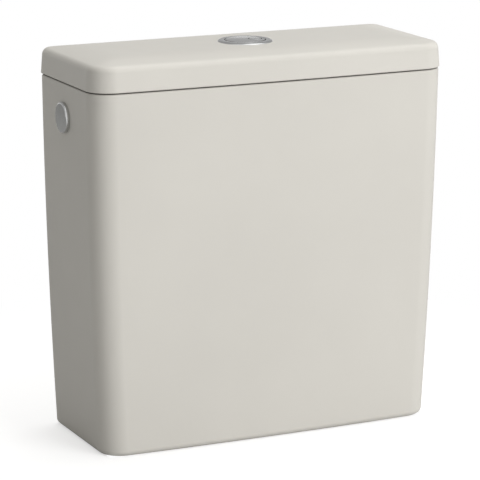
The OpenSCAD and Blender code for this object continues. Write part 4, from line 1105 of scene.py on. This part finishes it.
class CISTERN_OT_flush_valve(bpy.types.Operator):
    """Flush valve: threaded outlet, seat and cage, windowed tower, overflow tube, seal and float"""
    bl_idname = "cistern.flush_valve"
    bl_label = "Flush valve"

    def execute(self, context):
        f = context.scene.cistern_fittings
        soft = f.small_round
        centre, flange, low, gasket_top = spot("flush_valve_gasket")
        dress("flush_valve_gasket", tube(centre, flange, f.tail + f.clear, low, gasket_top, soft))

        nut_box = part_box("flush_valve_backnut")
        nut_r, nut_low, nut_high = (nut_box[1].y - nut_box[0].y) / 2, nut_box[0].z, nut_box[1].z
        _, _, low, ring_top = spot("flush_valve_base")
        root = f.tail - f.thread_depth
        flange_top = gasket_top + f.flange
        seat, seat_out = flange_top + f.seat_height, f.tail_bore + f.seat_wall
        body = turned(rounded([
            (f.tail_bore, low, soft), (root, low, soft), (root, gasket_top, 0), (flange, gasket_top, soft),
            (flange, flange_top, 2 * soft), (seat_out, flange_top, soft), (seat_out, seat, soft),
            (f.tail_bore, seat, soft)]), centre, WIDE_STEPS)
        ring_in = f.tower + f.dock
        ring_out = ring_in + f.cage_wall
        cage = tube(centre, ring_out, ring_in, flange_top - soft, ring_top, soft)
        gap = window(
            centre, f.cage_window, flange_top - 2 * soft, ring_top - f.cage_ring, ring_in - f.cage_wall,
            ring_out + f.cage_wall, 0, f.window_round)
        body = fused(body, carved(cage, ring_of("flush_valve_base", gap, f.windows, centre)))
        thread = ridge(
            "flush_valve_base", centre, f.tail, low + f.outlet_pitch, nut_low - f.nut_run, f.outlet_pitch,
            f.thread_depth)
        dress("flush_valve_base", joined(body, thread))

        nut = tube(centre, nut_r - f.grip_proud, root + f.fit, nut_low, nut_high, 2 * soft)
        dress("flush_valve_backnut", ribbed(
            "flush_valve_backnut", nut, centre, nut_r, f.grip_share * (nut_r - f.tail), nut_low + 2 * soft,
            nut_high - 2 * soft, soft, f.grips, math.pi / f.grips))

        dress("flush_valve_tower", self.tower(f, centre, ring_out, ring_top))

        _, _, low, top = spot("overflow_tube")
        _, seal_r, seal_low, seal_top = spot("valve_seal")
        bore, collar = f.tube - f.tube_wall, top - f.collar_drop
        flange_top = seal_top + f.tube_flange_thick
        dress("overflow_tube", turned(rounded([
            (bore, low, soft), (f.tube, low, soft), (f.tube, seal_top, 0), (f.tube_flange, seal_top, soft),
            (f.tube_flange, flange_top, soft), (f.tube, flange_top, 2 * soft), (f.tube, collar, soft),
            (f.collar, collar, soft), (f.collar, collar + f.collar_thick, 2 * soft),
            (f.tube, collar + f.collar_thick, soft), (f.tube, top, 2 * soft), (bore, top, 2 * soft)]),
            centre, WIDE_STEPS))
        dress("valve_seal", tube(centre, seal_r, f.tube + f.fit, seal_low, seal_top, 2 * soft))

        _, outer, low, high = spot("seal_retainer")
        ring = tube(centre, outer - f.knurl, f.tube + f.fit, low, high, soft)
        dress("seal_retainer", ribbed(
            "seal_retainer", ring, centre, outer, f.knurl, low + soft, high - soft, soft / 2, f.knurls))
        _, outer, low, high = spot("valve_float")
        dress("valve_float", float_shell(centre, outer, f.tube + f.fit, low, high, f.float_skin, 2 * soft))
        return {"FINISHED"}

    def tower(self, f, centre, ring_out, ring_top):
        """Windowed tube with its shoulder, deck and lever ears."""
        soft = f.small_round
        start, end, _, pivot = axle("lever_pins")
        low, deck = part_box("flush_valve_tower")[0].z, pivot[1] - f.deck_drop
        inner, hole = f.tower - f.tower_wall, f.tube + f.clear
        shoulder, under = ring_top + f.shoulder, deck - f.deck
        tower = turned(rounded([
            (inner, low, soft), (f.tower, low, soft), (f.tower, ring_top, 0), (ring_out, ring_top, soft),
            (ring_out, shoulder, 2 * soft), (f.tower, shoulder, 2 * soft), (f.tower, deck, 2 * soft),
            (hole, deck, soft), (hole, under, soft), (inner, under, 2 * soft)]), centre, WIDE_STEPS)
        height = (under - shoulder - f.window_gap * (f.window_rows + 1)) / f.window_rows
        gaps = []
        for row in range(f.window_rows):
            sill = shoulder + f.window_gap + row * (height + f.window_gap)
            gap = window(
                centre, f.tower_window, sill, sill + height, inner - f.tower_wall, f.tower + f.tower_wall,
                math.pi / f.windows, f.window_round)
            gaps.append(ring_of("flush_valve_tower", gap, f.windows, centre))
        far = end - f.ear_thick
        near = far - 2 * f.ear_gap - f.lever - f.ear_thick
        ears = [ear_x(f, x, pivot, deck - soft) for x in (near, far, -near - f.ear_thick, -far - f.ear_thick)]
        hole_x = bar_x(f.pin + f.fit, start - soft, end + soft, *pivot, 0)
        return carved(fused(carved(tower, *gaps), *ears), hole_x)


class CISTERN_OT_levers(bpy.types.Operator):
    """Two rocker levers on the tower, and their pins"""
    bl_idname = "cistern.levers"
    bl_label = "Levers"

    def execute(self, context):
        f = context.scene.cistern_fittings
        start, end, _, pivot = axle("lever_pins")
        out = end - f.ear_thick - f.ear_gap
        length = f.lever + 2 * (f.ear_thick + f.ear_gap)
        pins = [bar_x(f.pin, x, x + length, *pivot, f.small_round) for x in (start, end - length)]
        dress("lever_pins", joined(*pins))
        for node, lifted in (("full_flush_lever", True), ("half_flush_lever", False)):
            low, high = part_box(node)
            side = 1 if low.x > 0 else -1
            near, reach = out - f.lever, low.x if side > 0 else -high.x
            pad = low.y + f.pad, pivot[1] + f.pad_rise
            tip = high.y - f.pad, high.z - f.pad if lifted else low.z + f.pad
            dress(node, rocker(f, [(pad, f.pad, reach), (pivot, f.hub, near), (tip, f.pad, near)], out, side))
        return {"FINISHED"}


# Fill valve

class CISTERN_OT_fill_valve(bpy.types.Operator):
    """Fill valve: threaded inlet, riser, valve head with its nozzle and cap, float arm, link and float cup"""
    bl_idname = "cistern.fill_valve"
    bl_label = "Fill valve"

    def execute(self, context):
        f = context.scene.cistern_fittings
        soft = f.small_round
        centre, outer, low, flange = spot("fill_valve_washer")
        dress("fill_valve_washer", tube(centre, outer, f.inlet + f.fit, low, flange, soft))

        _, flange_r, low, top = spot("fill_valve_body")
        _, nut_r, nut_low, nut_high = spot("fill_valve_backnut")
        cup_low, head_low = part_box("float_cup")[0].z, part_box("fill_valve_head")[0].z
        root, over, stop = f.inlet - f.thread_depth, flange + f.inlet_flange, cup_low - f.stop
        stop_r = f.riser + f.stop_proud
        body = turned(rounded([
            (f.inlet_bore, low, soft), (root, low, soft), (root, flange, 0), (flange_r, flange, soft),
            (flange_r, over, 2 * soft), (f.riser, over, 2 * soft), (f.riser, stop, soft), (stop_r, stop, soft),
            (stop_r, cup_low, soft), (f.riser, cup_low, soft), (f.riser, head_low, soft), (f.spigot, head_low, 0),
            (f.spigot, top, soft), (f.inlet_bore, top, soft)]), centre)
        thread = ridge(
            "fill_valve_body", centre, f.inlet, low + f.thread_pitch, nut_low - f.nut_run, f.thread_pitch,
            f.thread_depth)
        dress("fill_valve_body", joined(body, thread))
        dress("fill_valve_backnut", six_sided(centre, nut_r, root + f.fit, nut_low, nut_high))

        low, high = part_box("fill_valve_head")
        radius, spout_z = (high.y - low.y) / 2, top + f.nozzle
        head = turned(rounded([
            (0, top, 0), (f.spigot + f.fit, top, 0), (f.spigot + f.fit, low.z, 0), (radius, low.z, 3 * soft),
            (radius, high.z, soft), (0, high.z, 0)]), centre)
        spout = bar_x(f.nozzle, low.x, centre[0] - (radius + f.spigot) / 2, centre[1], spout_z, soft)
        bore = bar_x(f.nozzle - f.nozzle_wall, low.x - soft, centre[0], centre[1], spout_z, 0)
        shaft = tube(centre, f.inlet_bore, 0, top - soft, spout_z - f.nozzle_wall / 2, 0)
        drill = fused(bore, shaft)
        dress("fill_valve_head", carved(fused(head, spout), drill))

        start, end, _, pivot = axle("float_arm_pin")
        dress("float_arm_pin", bar_x(f.pin, start, end, *pivot, soft))
        _, radius, cap_low, _ = spot("fill_valve_cap")
        cap_top = cap_low + f.cap
        cap = tube(centre, radius - f.knurl, 0, cap_low, cap_top, 2 * soft)
        ears = [ear_x(f, x, pivot, cap_top - soft) for x in (start, end - f.ear_thick)]
        cap = carved(fused(cap, *ears), bar_x(f.pin + f.fit, start - soft, end + soft, *pivot, 0))
        dress("fill_valve_cap", ribbed(
            "fill_valve_cap", cap, centre, radius, f.knurl, cap_low + soft, cap_top - soft, soft, f.knurls))

        low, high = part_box("float_arm")
        pad = low.y + f.pad, pivot[1] + f.arm_pad_rise
        dress("float_arm", rocker(f, [(pad, f.pad, low.x), (pivot, f.ear, low.x)], high.x, 1))

        link, link_r, cup_top, tip = spot("float_link")
        crown = [(link_r * math.cos(a), tip - link_r + link_r * math.sin(a)) for a in [0.0, *quarter()]]
        dress("float_link", turned([(0, cup_top), (link_r, cup_top), *crown], link, SLIM_STEPS))
        low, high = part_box("float_cup")
        cup = float_shell(centre, (high.x - low.x) / 2, f.riser + f.clear, low.z, cup_top, f.cup_wall, 3 * soft)
        lug = tube(link, f.lug, link_r + f.fit, cup_top - soft, high.z, soft)
        dress("float_cup", joined(cup, lug))
        return {"FINISHED"}


# Coupling bolts

def bolt_places():
    """Axes of the two coupling bolts."""
    low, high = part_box("bolt_washers")
    reach = (high.x - low.x) / 2 - (high.y - low.y) / 2
    return [(x, (low.y + high.y) / 2) for x in (-reach, reach)]


class CISTERN_OT_coupling(bpy.types.Operator):
    """Coupling bolts through the floor, with their cone seals, washers and nuts"""
    bl_idname = "cistern.coupling"
    bl_label = "Coupling bolts"

    def execute(self, context):
        f = context.scene.cistern_fittings
        soft = f.small_round
        places = bolt_places()
        right = places[1][0]

        def span(node):
            low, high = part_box(node)
            return high.x - right, low.z, high.z

        head_r, low, top = span("coupling_bolts")
        nut_r, nut_low, nut_high = span("bolt_nuts")
        head, thread_top = top - f.bolt_head, nut_low - f.nut_run
        root, shank = f.bolt - f.bolt_depth, f.bolt - f.clear / 2
        bolts = []
        for at in places:
            bolts.append(six_sided(at, head_r, 0, head, top))
            bolts.append(turned(rounded([
                (0, low, 0), (root, low, soft), (root, thread_top, 0), (shank, thread_top, soft / 2),
                (shank, head + soft, 0), (0, head + soft, 0)]), at, SLIM_STEPS))
            bolts.append(ridge(
                "coupling_bolts", at, f.bolt, low + f.bolt_pitch, thread_top, f.bolt_pitch, f.bolt_depth))
        dress("coupling_bolts", joined(*bolts))
        bore = shank + f.fit
        foot_r, low, high = span("bolt_seals")
        dress("bolt_seals", joined(*[turned(rounded([
            (bore, low, soft / 2), (foot_r, low, soft), (head_r, high, soft), (bore, high, soft / 2)]), at)
            for at in places]))
        washer_r, low, high = span("bolt_washers")
        dress("bolt_washers", joined(*[tube(at, washer_r, bore, low, high, soft) for at in places]))
        dress("bolt_nuts", joined(*[six_sided(at, nut_r, bore, nut_low, nut_high) for at in places]))
        return {"FINISHED"}


# Stage

# Reaches over which the floor turns white for the camera, and far off or in front for metal, in metres
FLOOR_FADE, FAR_FLOOR, FRONT_FLOOR = (0.22, 0.55), (2.6, 4.0), (-0.7, -0.1)
# Directions between which the mirrored room changes from its front level to its level behind, as sines
ROOM_TURN = -0.25, 0.45


class CISTERN_OT_stage(bpy.types.Operator):
    """Camera, lamps, pale floor and white surround"""
    bl_idname = "cistern.stage"
    bl_label = "Stage"

    def execute(self, context):
        stage = context.scene.cistern_stage
        scene = context.scene
        scene.view_settings.view_transform = "Standard"
        lens = bpy.data.cameras.new("camera")
        lens.lens = stage.lens
        lens.sensor_width = 36.0
        lens.clip_end = 50.0
        camera = bpy.data.objects.new("camera", lens)
        camera.location = stage.camera
        camera.rotation_euler = (Vector(stage.target) - Vector(stage.camera)).to_track_quat("-Z", "Y").to_euler()
        scene.collection.objects.link(camera)
        scene.camera = camera
        lamp("key_lamp", stage.key_place, stage.key_power, stage.key_size).visible_glossy = False
        lamp("top_lamp", stage.top_place, stage.top_power, stage.top_size).visible_glossy = False
        lamp("edge_lamp", stage.edge_place, stage.edge_power, stage.edge_size)
        surround(scene, stage)
        floor = sheet("floor", stage.floor_reach, floor_opening(scene.cistern_shell), floor_finish(stage))
        floor.location.z = CAD_BOX[0].z
        return {"FINISHED"}


def lamp(name, location, power, side):
    """Square lamp that faces the object."""
    light = bpy.data.lights.new(name, "AREA")
    light.energy = power
    light.size = side
    holder = bpy.data.objects.new(name, light)
    holder.location = location
    aim = (CAD_BOX[0] + CAD_BOX[1]) / 2 - Vector(location)
    holder.rotation_euler = aim.to_track_quat("-Z", "Y").to_euler()
    bpy.context.scene.collection.objects.link(holder)
    return holder


def floor_opening(sizes):
    """Low and high corner of the opening under the foot, where no camera above the floor sees it."""
    foot = Shell(sizes).tank_ring(0, sizes.foot_round)
    xs, ys = [p[0] for p in foot], [p[1] for p in foot]
    return (min(xs), min(ys)), (max(xs), max(ys))


def sheet(name, reach, opening, material):
    """Flat square panel of the stage with an oblong opening."""
    (x0, y0), (x1, y1) = opening
    outer = [(-reach, -reach, 0), (reach, -reach, 0), (reach, reach, 0), (-reach, reach, 0)]
    inner = [(x0, y0, 0), (x1, y0, 0), (x1, y1, 0), (x0, y1, 0)]
    mesh = bpy.data.meshes.new(name)
    mesh.from_pydata(outer + inner, [], [(i, (i + 1) % 4, (i + 1) % 4 + 4, i + 4) for i in range(4)])
    mesh.materials.append(material)
    panel = held(name, mesh)
    return panel


def surround(scene, stage):
    """World that lights evenly, looks white, and in metal shows a white horizon under a dimmer room."""
    world = bpy.data.worlds.new("surround")
    world.use_nodes = True
    tree = world.node_tree
    add = placer(tree)
    rays = add("ShaderNodeLightPath").outputs
    way = add("ShaderNodeSeparateXYZ", {"Vector": add("ShaderNodeTexCoord").outputs["Generated"]}).outputs
    level = between(add, way["Y"], stage.front, stage.room, *ROOM_TURN)
    above = between(add, way["Z"], 0.0, 1.0, stage.horizon, 2 * stage.horizon)
    room = add("ShaderNodeMix", {0: above, 2: 1.0, 3: level}).outputs[0]
    mirrored = add("ShaderNodeCombineColor", {"Red": room, "Green": room, "Blue": room}).outputs["Color"]
    lit = mixed(add, rays["Is Glossy Ray"], stage.ambient, mirrored)
    shown = add("ShaderNodeMath", {0: rays["Is Camera Ray"], 1: rays["Is Transmission Ray"]}, operation="MAXIMUM")
    feed(tree, tree.nodes["Background"], {"Color": mixed(add, shown.outputs[0], lit, (1.0, 1.0, 1.0))})
    scene.world = world


def floor_finish(stage):
    """Pale floor that keeps the object's shadow near it and goes over into white further off."""
    material, add, coords = shader("pale_floor")
    tree = material.node_tree
    tree.nodes.remove(tree.nodes["Principled BSDF"])

    def matt(level):
        return add("ShaderNodeBsdfDiffuse", {"Color": (level, level, level, 1.0)}).outputs[0]

    def glow(level):
        return add("ShaderNodeEmission", {"Strength": level}).outputs[0]

    def either(factor, first, second):
        return add("ShaderNodeMixShader", {0: factor, 1: first, 2: second}).outputs[0]

    away = add("ShaderNodeVectorMath", {0: coords}, operation="LENGTH").outputs["Value"]
    ahead = add("ShaderNodeSeparateXYZ", {"Vector": coords}).outputs["Y"]
    rays = add("ShaderNodeLightPath").outputs
    white, dull = glow(1.0), matt(stage.floor)
    near = add("ShaderNodeAddShader", {0: dull, 1: glow(stage.lift)}).outputs[0]
    seen = either(between(add, away, 0.0, 1.0, *FLOOR_FADE), near, white)
    bright = add("ShaderNodeMath", {
        0: between(add, away, 0.0, 1.0, *FAR_FLOOR), 1: between(add, ahead, 1.0, 0.0, *FRONT_FLOOR)},
        operation="MAXIMUM").outputs[0]
    mirrored = either(bright, matt(stage.floor_mirrored), white)
    top = either(rays["Is Camera Ray"], either(rays["Is Glossy Ray"], dull, mirrored), seen)
    below = add("ShaderNodeNewGeometry").outputs["Backfacing"]
    both = either(below, top, add("ShaderNodeBsdfTransparent").outputs[0])
    feed(tree, tree.nodes["Material Output"], {"Surface": both})
    return material


class CISTERN_PT_panel(bpy.types.Panel):
    """Lists the cistern's pieces."""
    bl_label = "Toilet Cistern"
    bl_idname = "CISTERN_PT_panel"
    bl_space_type = "VIEW_3D"
    bl_region_type = "UI"
    bl_category = "Cistern"

    def draw(self, context):
        for operator in OPERATORS:
            self.layout.operator(operator.bl_idname)


OPERATORS = (
    CISTERN_OT_stage, CISTERN_OT_tank, CISTERN_OT_lid, CISTERN_OT_push_buttons, CISTERN_OT_button_works,
    CISTERN_OT_side_plug, CISTERN_OT_flush_valve, CISTERN_OT_levers, CISTERN_OT_fill_valve, CISTERN_OT_coupling)
GROUPS = {
    "cistern_shell": ShellSizes, "cistern_buttons": ButtonSizes, "cistern_fittings": FittingSizes,
    "cistern_finishes": Finishes, "cistern_stage": StageSettings}


def register():
    for group in GROUPS.values():
        bpy.utils.register_class(group)
    for name, group in GROUPS.items():
        setattr(bpy.types.Scene, name, bpy.props.PointerProperty(type=group))
    for operator in OPERATORS:
        bpy.utils.register_class(operator)
    bpy.utils.register_class(CISTERN_PT_panel)


def unregister():
    bpy.utils.unregister_class(CISTERN_PT_panel)
    for operator in reversed(OPERATORS):
        bpy.utils.unregister_class(operator)
    for name in GROUPS:
        delattr(bpy.types.Scene, name)
    for group in reversed(list(GROUPS.values())):
        bpy.utils.unregister_class(group)


def main():
    register()
    for operator in OPERATORS:
        group, name = operator.bl_idname.split(".")
        getattr(getattr(bpy.ops, group), name)()


if __name__ == "__main__":
    main()
